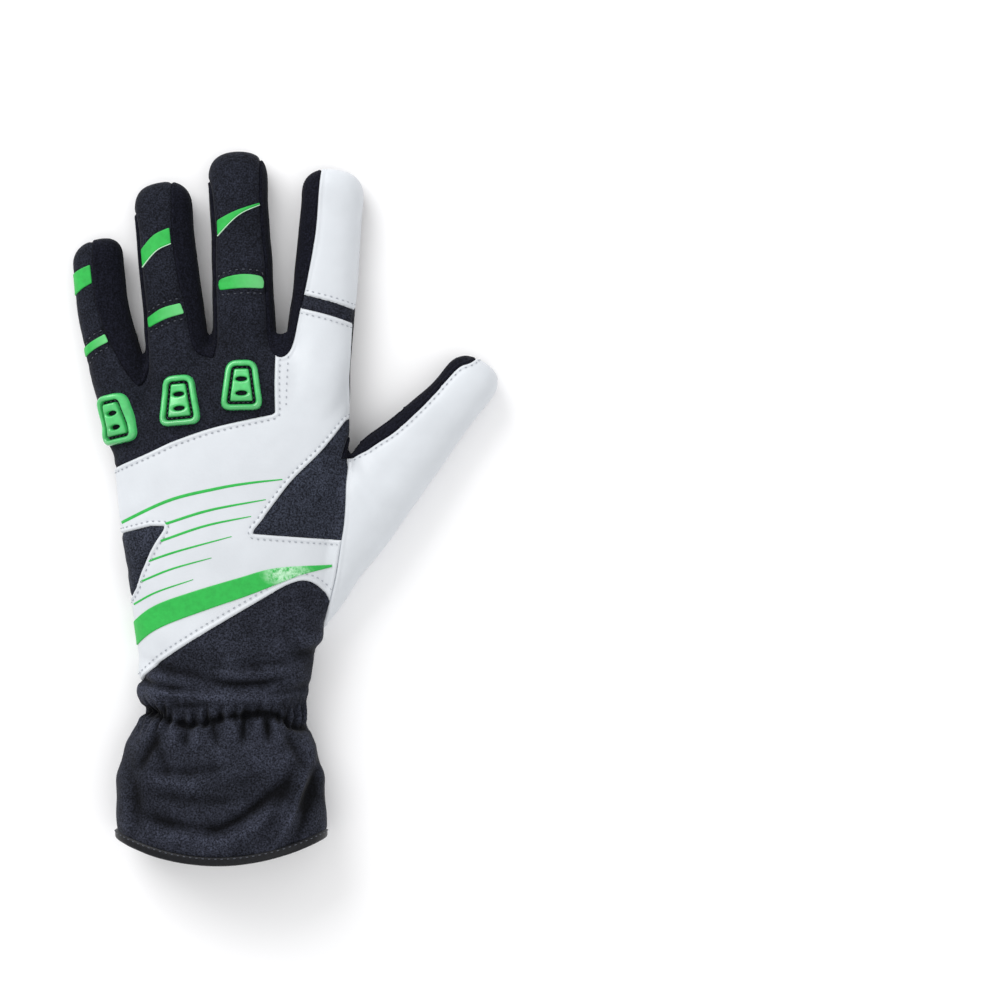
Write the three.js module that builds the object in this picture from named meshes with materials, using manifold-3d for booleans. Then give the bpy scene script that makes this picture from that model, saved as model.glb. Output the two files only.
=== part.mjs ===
// A left-hand karting glove lying palm down: a hollow sewn shell of panels with an open gauntlet cuff.
// Units are millimetres. +X points to the thumb's side, +Y to the fingertips and +Z up through the back of the hand.
// The origin is under the middle of the glove, on the surface that it lies on.
import * as THREE from "three";
import { mergeVertices } from "three/addons/utils/BufferGeometryUtils.js";
import Module from "manifold-3d";

const wasm = await Module();
wasm.setup();

// Driving sizes of the glove
const wall = 1.8; // thickness of the lined cloth and leather
const gap = 0.3; // clearance between neighbouring pieces
const gripThickness = 0.8; // raised silicone prints under the palm and fingers
const handWidth = 103; // across the knuckles
const handLength = 158; // from the elastic waist to the bottom of the finger gaps
const handHeight = 28; // thickness over the palm
const waistWidth = 68.5; // across the elastic
const waistHeight = 27;
const cuffWidth = 88; // across the open mouth
const cuffLength = 61; // from the hem to the elastic
const cuffHeight = 36;
const hemRise = 10; // how far the hem curves up at its two sides
const gatherDepth = 3; // depth of the pleats that the elastic draws in
const gatherReach = { below: 46, above: 26 }; // how far the pleats run from the elastic
const palmSeamHeight = 7; // height of the seam between the palm and the back
const indexSeamHeight = 12.5; // the same seam where the palm cloth climbs the side of the index finger
const stripeThickness = 0.6; // green inserts on the fingers and hand
const guardThickness = 2.4; // moulded knuckle guards
const guardSize = { wide: 18, narrow: 12.5, long: 21, rim: 2.6, slit: 1, corner: 3.4, leastCorner: 0.8 };
const slotSize = { long: 4.6, high: 1.8 }; // the two vents in each guard's core
const slotShares = [-0.16, 0.12]; // their places as shares of the guard's length
const gripCorner = 4; // corners of the grip prints on the palm
const padCorner = 2; // corners of the grip pads on the fingers
const stripeCorner = 0.6;
const finest = 0.03; // flatter detail than this is left out of the meshes

// The cloth starts above the silicone prints, which touch the surface at height 0.
const clothBase = gap + gripThickness;
const hemRadius = clothBase + wall / 2;
const mouthStart = 2 * hemRadius + gap; // the cloth starts here, in the binding's far side

// Each digit: its root as shares of the hand, its lean from +Y, and its own sizes. bend bows it sideways.
const digits = {
  pinky: { across: -0.404, along: 0.81, lean: -11.7, length: 73.3, width: 21.6, height: 15.5, bend: -3.2 },
  ring: { across: -0.188, along: 0.837, lean: -6.3, length: 92.1, width: 24.6, height: 17, bend: -0.6 },
  middle: { across: 0.068, along: 0.837, lean: -2.5, length: 104.7, width: 24.8, height: 17.5, bend: 0.2 },
  index: { across: 0.33, along: 0.837, lean: 5.5, length: 97.4, width: 26.2, height: 17.5, bend: 1.2 },
  thumb: { across: 0.375, along: 0.305, lean: 34.2, length: 120.9, width: 23.3, height: 18.5, bend: -7.2 },
};

// Sections of a digit, as shares of its own length, width, height and bend.
const fingerSections = [
  { along: -0.15, width: 1.08, height: 1.24, bend: -0.3 },
  { along: 0.05, width: 1.14, height: 1.25, bend: 0.2 },
  { along: 0.28, width: 1.07, height: 1.08, bend: 0.8 },
  { along: 0.55, width: 1.01, height: 0.99, bend: 1 },
  { along: 0.8, width: 0.98, height: 0.94, bend: 0.64 },
];
const thumbSections = [
  { along: -0.12, width: 0.4, height: 0.75, bend: -0.2 },
  { along: 0, width: 0.68, height: 0.95, bend: 0 },
  { along: 0.15, width: 1.0, height: 1.12, bend: 0.52 },
  { along: 0.3, width: 1.3, height: 1.22, bend: 0.81 },
  { along: 0.5, width: 1.46, height: 1.16, bend: 1 },
  { along: 0.69, width: 1.2, height: 1.04, bend: 0.54 },
  { along: 0.87, width: 1.0, height: 0.97, bend: 0.1 },
];
// The round end of a digit is a superellipse. Its length is a share of the digit's width.
const tipRound = { length: 0.46, power: 2.5, steps: [0.5, 0.82, 0.98], thinning: 0.8 };

// Sections of the cuff. flare and rise go from the waist's width and height at 0 to the mouth's at 1.
// middle is a share of handWidth.
const cuffSections = [
  { along: 0, flare: 0.97, rise: 1, middle: -0.031, bow: 1 },
  { along: 0.22, flare: 0.99, rise: 1, middle: -0.033, bow: 0.75 },
  { along: 0.42, flare: 1.0, rise: 0.88, middle: -0.035, bow: 0.5 },
  { along: 0.6, flare: 0.83, rise: 0.68, middle: -0.036, bow: 0.3 },
  { along: 0.76, flare: 0.56, rise: 0.44, middle: -0.035, bow: 0.15 },
  { along: 0.89, flare: 0.24, rise: 0.16, middle: -0.03, bow: 0 },
  { along: 1, flare: 0, rise: 0, middle: -0.024, bow: 0 },
];
// Sections of the hand from the waist on. middle and skew are shares of handWidth, bow of handLength.
const handSections = [
  { along: 0.06, width: 0.682, height: 0.99, middle: -0.02, bow: 0, skew: 0 },
  { along: 0.15, width: 0.718, height: 1.02, middle: -0.012, bow: 0, skew: 0 },
  { along: 0.28, width: 0.792, height: 1.0, middle: 0.003, bow: 0, skew: 0 },
  { along: 0.42, width: 0.87, height: 1.0, middle: 0.008, bow: 0, skew: 0 },
  { along: 0.58, width: 0.928, height: 0.98, middle: 0.007, bow: 0, skew: 0 },
  { along: 0.72, width: 0.955, height: 0.94, middle: 0.007, bow: -0.02, skew: 0.03 },
  { along: 0.82, width: 0.99, height: 0.87, middle: -0.005, bow: -0.05, skew: 0.07 },
  { along: 0.92, width: 1.01, height: 0.74, middle: -0.012, bow: -0.095, skew: 0.115 },
  { along: 1, width: 0.99, height: 0.5, middle: -0.012, bow: -0.12, skew: 0.15 },
];

// How a section's outline is divided: a flat sole, two round corners and a crown.
const soleGathers = 6; // pleats across the palm side
const crownGathers = 4; // shallow pleats across the back
const handOutline = { sole: 2 * soleGathers + 1, corner: 2, crown: 11, flat: 0.62, side: 0.42, power: 2.3 };
const digitOutline = { sole: 2, corner: 2, crown: 6, flat: 0.55, side: 0.45, power: 2.2 };
const crownGatherShare = 0.4; // their depth as a share of gatherDepth

const degrees = Math.PI / 180;
const soleSpan = [-20, 200]; // heights that every upright cutter spans

// A closed solid from vertices and triangles, turned the right way out.
function solidFrom(positions, triangles) {
  const make = (triVerts) =>
    new wasm.Manifold(
      new wasm.Mesh({ numProp: 3, vertProperties: new Float32Array(positions.flat()), triVerts }),
    );
  const solid = make(new Uint32Array(triangles.flat()));
  if (solid.volume() > 0) return solid;
  return make(new Uint32Array(triangles.map(([a, b, c]) => [a, c, b]).flat()));
}

// A solid through rings of points, each ring closed. A loop's last ring meets its first; otherwise both ends close.
function loft(rings, loop = false) {
  const around = rings[0].length;
  const positions = rings.flat();
  const triangles = [];
  const last = loop ? rings.length : rings.length - 1;
  for (let row = 0; row < last; row++) {
    for (let step = 0; step < around; step++) {
      const a = row * around + step;
      const b = row * around + ((step + 1) % around);
      const c = ((row + 1) % rings.length) * around + step;
      const d = ((row + 1) % rings.length) * around + ((step + 1) % around);
      triangles.push([a, b, d], [a, d, c]);
    }
  }
  if (!loop) {
    [0, rings.length - 1].forEach((row) => {
      const ring = rings[row];
      const middle = [0, 1, 2].map((axis) => ring.reduce((sum, point) => sum + point[axis], 0) / around);
      const hub = positions.push(middle) - 1;
      for (let step = 0; step < around; step++) {
        const a = row * around + step;
        const b = row * around + ((step + 1) % around);
        triangles.push(row === 0 ? [hub, b, a] : [hub, a, b]);
      }
    });
  }
  return solidFrom(positions, triangles);
}

// A three.js geometry as a solid.
function solidOf(geometry) {
  const bare = geometry.clone();
  bare.deleteAttribute("normal");
  bare.deleteAttribute("uv");
  const merged = mergeVertices(bare, 1e-4);
  const vertProperties = new Float32Array(merged.attributes.position.array);
  return new wasm.Manifold(
    new wasm.Mesh({ numProp: 3, vertProperties, triVerts: new Uint32Array(merged.index.array) }),
  );
}

const sharpest = 0.5; // sharper corners than this, as 1 + the cosine of their turn, are blunted

// A plan outline [[x, y], ...] grown outwards by a distance, or shrunk where it is negative.
function grown(outline, distance) {
  const area = THREE.ShapeUtils.area(outline.map(([x, y]) => new THREE.Vector2(x, y)));
  const ordered = area > 0 ? outline : [...outline].reverse();
  return ordered.map((point, i) => {
    const before = ordered[(i + ordered.length - 1) % ordered.length];
    const after = ordered[(i + 1) % ordered.length];
    const first = new THREE.Vector2(point[1] - before[1], before[0] - point[0]).normalize();
    const second = new THREE.Vector2(after[1] - point[1], point[0] - after[0]).normalize();
    const reach = distance / Math.max(sharpest, 1 + first.dot(second));
    return [point[0] + (first.x + second.x) * reach, point[1] + (first.y + second.y) * reach];
  });
}

// An upright prism over a plan outline.
function prism(outline, low = soleSpan[0], high = soleSpan[1]) {
  const shape = new THREE.Shape(outline.map(([x, y]) => new THREE.Vector2(x, y)));
  const geometry = new THREE.ExtrudeGeometry(shape, { depth: high - low, bevelEnabled: false });
  return solidOf(geometry.translate(0, 0, low));
}

// A smooth line through a few plan points.
function smooth(points, steps = points.length * 2 - 1) {
  const curve = new THREE.SplineCurve(points.map(([x, y]) => new THREE.Vector2(x, y)));
  return curve.getPoints(steps).map(({ x, y }) => [x, y]);
}

const cornerShare = 0.45; // the most of a side that a round corner at its end may take

// A plan outline with each corner rounded by an arc.
function rounded(corners, radius, steps = 2) {
  return corners.flatMap(([x, y], i) => {
    const here = new THREE.Vector2(x, y);
    const before = new THREE.Vector2(...corners[(i + corners.length - 1) % corners.length]);
    const after = new THREE.Vector2(...corners[(i + 1) % corners.length]);
    const reach = Math.min(radius, here.distanceTo(before) * cornerShare, here.distanceTo(after) * cornerShare);
    const start = before.sub(here).setLength(reach).add(here);
    const end = after.sub(here).setLength(reach).add(here);
    const corner = new THREE.QuadraticBezierCurve(start, here, end);
    return corner.getPoints(steps).map((point) => [point.x, point.y]);
  });
}

// The outline of a section in its own plane: offset across, height, and part, which says where it lies.
function sectionOutline(halfWidth, bottom, top, form) {
  const side = bottom + (top - bottom) * form.side;
  const flat = halfWidth * form.flat;
  const points = [];
  for (let i = 0; i < form.sole; i++) {
    const share = i / (form.sole - 1);
    points.push({ offset: flat * (2 * share - 1), height: bottom, part: "sole", share });
  }
  for (let i = 1; i < form.corner; i++) {
    const turn = (i / form.corner) * 90 * degrees;
    const offset = flat + (halfWidth - flat) * Math.sin(turn);
    points.push({ offset, height: side - (side - bottom) * Math.cos(turn), part: "corner", share: 1 });
  }
  for (let i = 0; i < form.crown; i++) {
    const share = i / (form.crown - 1);
    const turn = share * 180 * degrees;
    const offset = halfWidth * Math.sign(Math.cos(turn)) * Math.abs(Math.cos(turn)) ** (2 / form.power);
    const height = side + (top - side) * Math.abs(Math.sin(turn)) ** (2 / form.power);
    points.push({ offset, height, part: "crown", share });
  }
  for (let i = form.corner - 1; i > 0; i--) {
    const turn = (i / form.corner) * 90 * degrees;
    const offset = -flat - (halfWidth - flat) * Math.sin(turn);
    points.push({ offset, height: side - (side - bottom) * Math.cos(turn), part: "corner", share: 0 });
  }
  return points;
}

// How far the elastic draws the cloth inwards at a point of a section.
function gather(point, y) {
  const distance = y - cuffLength;
  const reach = distance < 0 ? gatherReach.below : gatherReach.above;
  const fade = Math.max(0, 1 - (distance / reach) ** 2) ** 1.5;
  const folds = { sole: soleGathers, crown: crownGathers, corner: 0 }[point.part];
  const share = point.part === "crown" ? crownGatherShare : 1;
  return gatherDepth * share * fade * (0.5 - 0.5 * Math.cos(2 * Math.PI * folds * point.share));
}

// One ring of the hand or cuff, in plan and height. bow and skew move a ring's sides along +Y.
function handRing({ y, middle, width, height, bow, skew }, grow) {
  const halfWidth = width / 2 + grow;
  const top = clothBase + height + grow;
  const bottom = clothBase - grow;
  return sectionOutline(halfWidth, bottom, top, handOutline).map((point) => {
    const drawn = gather(point, y);
    const inwards = new THREE.Vector2(-point.offset, (bottom + top) / 2 - point.height).setLength(drawn);
    const offset = point.offset + inwards.x;
    const lift = bow * (offset / halfWidth) ** 2 + skew * (offset / halfWidth);
    return [middle + offset, y + lift, point.height + inwards.y];
  });
}

// The rows of the hand and cuff in millimetres, from the hem to the finger gaps.
const bodyRows = [
  ...cuffSections.map((row) => ({
    y: THREE.MathUtils.lerp(mouthStart, cuffLength, row.along),
    middle: row.middle * handWidth,
    width: THREE.MathUtils.lerp(waistWidth, cuffWidth, row.flare),
    height: THREE.MathUtils.lerp(waistHeight, cuffHeight, row.rise),
    bow: row.bow * hemRise,
    skew: 0,
  })),
  ...handSections.map((row) => ({
    y: cuffLength + row.along * handLength,
    middle: row.middle * handWidth,
    width: row.width * handWidth,
    height: row.height * handHeight,
    bow: row.bow * handLength,
    skew: row.skew * handWidth,
  })),
];

// The hand and cuff as one solid, grown by a distance. The finger end moves with it; a hollow runs out past the hem.
function bodySolid(grow) {
  const rows = bodyRows.map((row, i) => (i === bodyRows.length - 1 ? { ...row, y: row.y + grow } : row));
  const mouth = { ...rows[0], y: 0 };
  return loft((grow < 0 ? [mouth, ...rows] : rows).map((row) => handRing(row, grow)));
}

// A point in plan on the hand, from shares of its width and length.
function onHand(across, along) {
  return [across * handWidth, cuffLength + along * handLength];
}

// The place and direction of a digit's section. Past its last row a digit keeps its width and its bend runs out.
function digitFrame(digit, along) {
  const table = digit === digits.thumb ? thumbSections : fingerSections;
  const rows = [...table, { ...table.at(-1), along: 1, bend: 0 }];
  const found = rows.findIndex((row) => row.along >= along);
  const next = found < 0 ? rows.length - 1 : Math.max(1, found);
  const [before, after] = [rows[next - 1], rows[next]];
  const share = Math.max(0, (along - before.along) / (after.along - before.along));
  const bend = digit.bend * THREE.MathUtils.lerp(before.bend, after.bend, share);
  const width = digit.width * THREE.MathUtils.lerp(before.width, after.width, Math.min(1, share));
  const [rootX, rootY] = onHand(digit.across, digit.along);
  const forward = [Math.sin(digit.lean * degrees), Math.cos(digit.lean * degrees)];
  const across = [forward[1], -forward[0]];
  const reach = along * digit.length;
  const x = rootX + forward[0] * reach + across[0] * bend;
  const y = rootY + forward[1] * reach + across[1] * bend;
  return { x, y, across, width };
}

// A point in plan on a digit. along is a share of its length, and across of its half width.
function onDigit(digit, across, along) {
  const frame = digitFrame(digit, along);
  const offset = (across * frame.width) / 2;
  return [frame.x + frame.across[0] * offset, frame.y + frame.across[1] * offset];
}

// A finger or the thumb as one solid, grown by a distance, with a round blunt tip.
function digitSolid(digit, grow) {
  const rows = digit === digits.thumb ? thumbSections : fingerSections;
  const tip = digit.width * tipRound.length;
  const shaft = digit.length - tip;
  const tail = rows.at(-1);
  const stations = [
    ...rows.filter((row) => row.along * digit.length < shaft).map((row) => ({ ...row, size: 1 })),
    ...tipRound.steps.map((step) => ({
      along: (shaft + step * (tip + grow)) / digit.length,
      width: tail.width,
      height: tail.height,
      size: (1 - step ** tipRound.power) ** (1 / tipRound.power),
    })),
  ];
  const rings = stations.map(({ along, width, height, size }) => {
    const { x, y, across } = digitFrame(digit, along);
    const top = clothBase + digit.height * height + grow;
    const bottom = clothBase - grow;
    const side = bottom + (top - bottom) * digitOutline.side;
    const halfWidth = ((width * digit.width) / 2 + grow) * size;
    const thin = size ** tipRound.thinning;
    const low = THREE.MathUtils.lerp(side, bottom, thin);
    const high = THREE.MathUtils.lerp(side, top, thin);
    const outline = sectionOutline(halfWidth, low, high, digitOutline);
    return outline.map(({ offset, height: z }) => [x + across[0] * offset, y + across[1] * offset, z]);
  });
  return loft(rings);
}

// The whole outer form, grown by a distance.
const forms = new Map();
function gloveSolid(grow) {
  if (!forms.has(grow)) {
    const lofts = Object.values(digits).map((digit) => digitSolid(digit, grow));
    forms.set(grow, lofts.reduce((form, solid) => form.add(solid), bodySolid(grow)));
  }
  return forms.get(grow);
}

// A skin that lies over the glove between two distances from the cloth.
function skin(low, high) {
  return gloveSolid(high).subtract(gloveSolid(low));
}

// The largest single body of a solid: cuts can leave loose slivers beside it.
function mainBody(solid) {
  return solid.decompose().reduce((best, body) => (body.volume() > best.volume() ? body : best));
}

// Seam lines and panel outlines in plan. Outlines reach past the glove's edge where a panel does.
const far = 1.6; // a share of handWidth or handLength that lies outside the glove
const knuckleBorder = smooth([
  onHand(-0.62, 0.615),
  onHand(-0.455, 0.659),
  onHand(-0.326, 0.694),
  onHand(-0.21, 0.728),
  onHand(-0.038, 0.765),
  onHand(0.192, 0.798),
]);
const knuckleOutline = [
  ...knuckleBorder,
  onHand(0.188, 0.88),
  onHand(0.19, 0.97),
  onHand(0.212, 1.06),
  onHand(0.216, far),
  onHand(-far, far),
  onHand(-far, 0.6),
];
const webOutline = [
  onHand(0.56, 0.81),
  ...smooth([onHand(0.477, 0.781), onHand(0.383, 0.702), onHand(0.266, 0.625), onHand(0.165, 0.539)], 9),
  ...smooth([onHand(0.14, 0.515), onHand(0.105, 0.486), onHand(0.13, 0.481)], 4),
  onHand(0.458, 0.465),
  onHand(0.56, 0.462),
];
const ulnarOutline = [
  onHand(-0.7, 0.44),
  onHand(-0.427, 0.484),
  onHand(-0.314, 0.502),
  onHand(-0.252, 0.502),
  ...smooth([onHand(-0.262, 0.488), onHand(-0.302, 0.449), onHand(-0.346, 0.393), onHand(-0.374, 0.34)], 6),
  onHand(-0.42, 0.29),
  onHand(-0.7, 0.29),
];
const wristOutline = [
  onHand(-0.7, -0.05),
  ...smooth(
    [
      onHand(-0.349, 0.099),
      onHand(-0.283, 0.14),
      onHand(-0.09, 0.221),
      onHand(0.135, 0.307),
      onHand(0.247, 0.348),
      onHand(0.322, 0.357),
      onHand(0.385, 0.332),
      onHand(0.425, 0.28),
    ],
    13,
  ),
  onHand(0.8, 0.1),
  onHand(0.8, -0.8),
  onHand(-0.7, -0.8),
];
const thumbOutline = [
  ...smooth([
    onHand(0.485, 0.72),
    onHand(0.477, 0.624),
    onHand(0.469, 0.518),
    onHand(0.457, 0.459),
    onHand(0.436, 0.372),
    onHand(0.41, 0.3),
    onHand(0.388, 0.245),
    onHand(0.35, 0.17),
  ]),
  onHand(0.3, -0.05),
  onHand(far, 0),
  onHand(far, far),
  onHand(0.62, far),
  onHand(0.535, 0.85),
];

// Seams along a digit, as shares of its half width and length, from the palm to beyond the tip.
const pinkySeam = [[0.36, 0.21], [0.2, 0.3], [0.03, 0.4], [-0.1, 0.54], [-0.2, 0.68], [-0.15, 0.98], [-0.15, 1.2]];
const ringInnerSeam = [[-0.93, 0.18], [-0.9, 0.5], [-0.86, 0.86], [-0.8, 1.2]];
const ringOuterSeam = [[0.54, 0.24], [0.47, 0.43], [0.34, 0.55], [0.29, 0.74], [0.41, 1], [0.41, 1.2]];
const middleInnerSeam = [[-0.88, 0.22], [-0.87, 0.6], [-0.84, 0.9], [-0.84, 1.2]];
const middleOuterSeam = [[0.8, 0.22], [0.8, 0.4], [0.82, 0.54], [0.77, 0.79], [0.84, 0.97], [0.84, 1.2]];
const indexSeam = [[-0.76, 0.21], [-0.67, 0.37], [-0.55, 0.53], [-0.43, 0.72], [-0.42, 0.9], [-0.4, 1.2]];
const thumbSeam = [[-0.93, 0.47], [-0.66, 0.56], [-0.6, 0.65], [-0.65, 0.8], [-0.62, 0.93], [-0.3, 1.0], [-0.3, 1.2]];
// The lowest point of each side strip, under the gap between two fingers.
const webPoints = {
  pinkyRing: onHand(-0.36, 0.875),
  ringMiddle: onHand(-0.092, 0.953),
  middleIndex: onHand(0.205, 0.95),
};
// Where the leather of the thumb turns under to the palm side.
const thumbWrap = [[0.72, 1.2], [0.72, 0.8], [0.68, 0.6], [0.6, 0.45], [0.45, 0.3], [0.25, 0.17]];

function seamLine(digit, rows) {
  return smooth(rows.map(([across, along]) => onDigit(digit, across, along)), rows.length + 1);
}

function stripOutline(left, leftSeam, right, rightSeam, web) {
  return [
    ...seamLine(left, leftSeam).reverse(),
    web,
    ...seamLine(right, rightSeam),
  ];
}
const sideStrips = {
  side_strip_pinky_ring: stripOutline(digits.pinky, pinkySeam, digits.ring, ringInnerSeam, webPoints.pinkyRing),
  side_strip_ring_middle: stripOutline(
    digits.ring,
    ringOuterSeam,
    digits.middle,
    middleInnerSeam,
    webPoints.ringMiddle,
  ),
  side_strip_middle_index: stripOutline(
    digits.middle,
    middleOuterSeam,
    digits.index,
    indexSeam,
    webPoints.middleIndex,
  ),
};
const thumbStripOutline = [
  onHand(0.462, 0.68),
  ...seamLine(digits.thumb, thumbSeam),
  onHand(0.75, far),
  onHand(0.54, 1.1),
  onHand(0.51, 0.8),
];

// The band over the index finger's middle joint, and the tip beyond it.
const bandLower = [[-1.6, 0.405], [-0.5, 0.385], [0.4, 0.365], [1.6, 0.325]];
const bandUpper = [[-1.6, 0.465], [-0.5, 0.443], [0.4, 0.423], [1.6, 0.385]];
const bandEdge = (rows) => smooth(rows.map(([across, along]) => onDigit(digits.index, across, along)), 6);
const indexBandOutline = [...bandEdge(bandLower), ...bandEdge(bandUpper).reverse()];
const indexTipOutline = [
  ...bandEdge(bandUpper),
  onDigit(digits.index, 1.6, 1.3),
  onDigit(digits.index, -1.35, 1.3),
];

// The palm panel's cloth lies below the palm seam, apart from where the back's leather turns under.
const thumbWrapOutline = [
  ...seamLine(digits.thumb, thumbWrap).reverse(),
  onHand(0.114, 0.197),
  onHand(0.34, 0.165),
  onHand(far, 0.1),
  onHand(far, far),
  onDigit(digits.thumb, 1.6, 1.3),
].reverse();
const ulnarWrapOutline = [
  onHand(-far, 0.42),
  onHand(-0.44, 0.38),
  onHand(-0.37, 0.3),
  onHand(-0.32, 0.2),
  onHand(-0.31, 0.06),
  onHand(-far, 0.03),
];
const indexSideOutline = [
  onDigit(digits.index, 0.55, 0.5),
  onDigit(digits.index, 0.5, 0.1),
  onHand(0.4, 0.74),
  onHand(0.7, 0.72),
  onDigit(digits.index, 2.5, 0.5),
];
const palmOutline = [
  ...smooth([onHand(-0.7, 0.16), onHand(-0.31, 0.2), onHand(-0.08, 0.212), onHand(0.1, 0.19), onHand(0.7, 0.1)]),
  onHand(far, far),
  onHand(-far, far),
  onHand(-far, 0.16),
];
const everywhere = [onHand(-far, -far), onHand(far, -far), onHand(far, far), onHand(-far, far)];

// The space under the palm seam, grown by a distance.
function underSeam(grow) {
  return prism(everywhere, soleSpan[0], palmSeamHeight + grow)
    .subtract(prism(grown(thumbWrapOutline, -grow)))
    .subtract(prism(grown(ulnarWrapOutline, -grow)))
    .add(prism(grown(indexSideOutline, grow), soleSpan[0], indexSeamHeight + grow));
}

// The thumb's leather alone turns under the heel of the hand. This is that space, grown by a distance.
function underHeel(grow) {
  const turned = prism(grown(thumbWrapOutline, grow), soleSpan[0], palmSeamHeight + grow);
  return turned.subtract(prism(grown(thumbOutline, -grow)));
}

// The hollow shell, and its parts above and below the palm seam
const shell = gloveSolid(0).subtract(gloveSolid(-wall));
const lower = shell.intersect(underSeam(-gap / 2));
const aboveSeam = shell.subtract(underSeam(gap / 2));
const upper = aboveSeam.subtract(underHeel(gap / 2));
const heel = shell.intersect(prism(grown(thumbWrapOutline, -gap / 2), soleSpan[0], palmSeamHeight - gap / 2));

// The piece of a shell inside an outline, clear of outlines that lie over it by half a gap on each side.
function panel(source, outline, over = []) {
  const inside = source.intersect(prism(grown(outline, -gap / 2)));
  return mainBody(over.reduce((rest, other) => rest.subtract(prism(grown(other, gap / 2))), inside));
}

const strips = [...Object.values(sideStrips), thumbStripOutline];
const backPanels = {
  knuckle_panel: panel(upper, knuckleOutline, strips),
  web_panel: panel(upper, webOutline, [thumbOutline, thumbStripOutline]),
  ulnar_inset: panel(upper, ulnarOutline),
  thumb_panel: mainBody(panel(aboveSeam, thumbOutline, [thumbStripOutline]).add(heel)),
  wrist_panel: panel(upper, wristOutline, [thumbOutline]),
  index_joint_band: panel(upper, indexBandOutline, strips),
  index_tip_panel: panel(upper, indexTipOutline, [...strips, indexBandOutline]),
  leather_panel: panel(upper, everywhere, [
    ...strips,
    knuckleOutline,
    webOutline,
    ulnarOutline,
    thumbOutline,
    wristOutline,
    indexBandOutline,
    indexTipOutline,
  ]),
};
const stripPanels = Object.fromEntries(
  Object.entries(sideStrips).map(([name, outline]) => [name, panel(upper, outline)]),
);
stripPanels.side_strip_thumb = panel(upper, thumbStripOutline);
const palmPanels = {
  palm_panel: panel(lower, palmOutline),
  cuff_palm: panel(lower, everywhere, [palmOutline]),
};

// The binding round the mouth: a round roll that follows the cloth's middle line.
function hemBinding() {
  const row = { ...bodyRows[0], y: hemRadius };
  const line = handRing(row, -wall / 2);
  const sides = 8;
  const rings = line.map(([x, y, z], i) => {
    const before = new THREE.Vector3(...line[(i + line.length - 1) % line.length]);
    const after = new THREE.Vector3(...line[(i + 1) % line.length]);
    const tangent = after.sub(before).normalize();
    const outwards = new THREE.Vector3().crossVectors(tangent, new THREE.Vector3(0, 1, 0)).normalize();
    const along = new THREE.Vector3().crossVectors(outwards, tangent).normalize();
    return Array.from({ length: sides }, (_, k) => {
      const turn = ((k + 0.5) / sides) * 2 * Math.PI;
      const radius = hemRadius / Math.cos(Math.PI / sides);
      const out = outwards.clone().multiplyScalar(Math.cos(turn) * radius);
      const up = along.clone().multiplyScalar(Math.sin(turn) * radius);
      return [x + out.x + up.x, y + out.y + up.y, z + out.z + up.z];
    });
  });
  return loft(rings, true);
}

// Green inserts on the fingers, as outlines in shares of each finger, and the band over the hand
const stripeShapes = {
  pinky: {
    tip: [[-1.3, 0.82], [-0.24, 0.855], [-0.24, 0.755], [-1.3, 0.685]],
    joint: [[-1.3, 0.385], [-0.02, 0.45], [0, 0.405], [-1.3, 0.33]],
  },
  ring: {
    tip: [[-0.84, 0.705], [-0.3, 0.755], [0.22, 0.782], [0.22, 0.715], [-0.3, 0.683], [-0.84, 0.625]],
    joint: [[-0.82, 0.392], [0.38, 0.43], [0.4, 0.388], [-0.8, 0.348]],
  },
  middle: {
    tip: [[-0.74, 0.722], [0, 0.765], [0.7, 0.795], [0.7, 0.785], [0, 0.727], [-0.74, 0.66]],
    joint: [[-0.72, 0.483], [0, 0.5], [0.72, 0.485], [0.7, 0.445], [-0.7, 0.445]],
  },
};
const stripeSkin = skin(gap, gap + stripeThickness).subtract(underSeam(gap / 2));
const stripePieces = Object.fromEntries(
  Object.entries(stripeShapes).flatMap(([finger, shapes]) =>
    Object.entries(shapes).map(([place, corners]) => {
      const outline = corners.map(([across, along]) => onDigit(digits[finger], across, along));
      return [`stripe_${finger}_${place}`, mainBody(stripeSkin.intersect(prism(rounded(outline, stripeCorner, 1))))];
    }),
  ),
);
const handBandOutline = [
  ...smooth(
    [
      onHand(-0.48, 0.185),
      onHand(-0.377, 0.255),
      onHand(-0.287, 0.295),
      onHand(-0.147, 0.328),
      onHand(0.048, 0.366),
      onHand(0.2, 0.392),
      onHand(0.42, 0.4),
    ],
    9,
  ),
  ...smooth(
    [
      onHand(0.42, 0.394),
      onHand(0.3, 0.374),
      onHand(0.243, 0.36),
      onHand(0.087, 0.32),
      onHand(-0.069, 0.285),
      onHand(-0.257, 0.239),
      onHand(-0.358, 0.196),
      onHand(-0.46, 0.12),
    ],
    9,
  ),
];
stripePieces.stripe_hand = mainBody(
  stripeSkin.intersect(prism(handBandOutline)).subtract(prism(grown(wristOutline, gap / 2))),
);

// Moulded knuckle guards: a rim and a slotted core, each laid over a knuckle square to the cloth there
const guardPlaces = {
  pinky: { across: -0.462, along: 0.785, lean: -12, tilt: -36 },
  ring: { across: -0.196, along: 0.834, lean: -5, tilt: -8 },
  middle: { across: 0.056, along: 0.874, lean: -1, tilt: 0 },
};

// A guard's outline, shrunk by a distance: narrow towards the fingertips.
function guardOutline(shrink, steps) {
  const { wide, narrow, long, corner, leastCorner } = guardSize;
  const corners = [
    [-wide / 2, -long / 2],
    [wide / 2, -long / 2],
    [narrow / 2, long / 2],
    [-narrow / 2, long / 2],
  ];
  return rounded(grown(corners, -shrink), Math.max(leastCorner, corner - shrink), steps);
}

const edgeShare = 0.98; // a guard near the hand's edge is set as if it were this share of the way out
const cutterSink = 7; // how far a guard's cutter starts under the cloth

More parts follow.
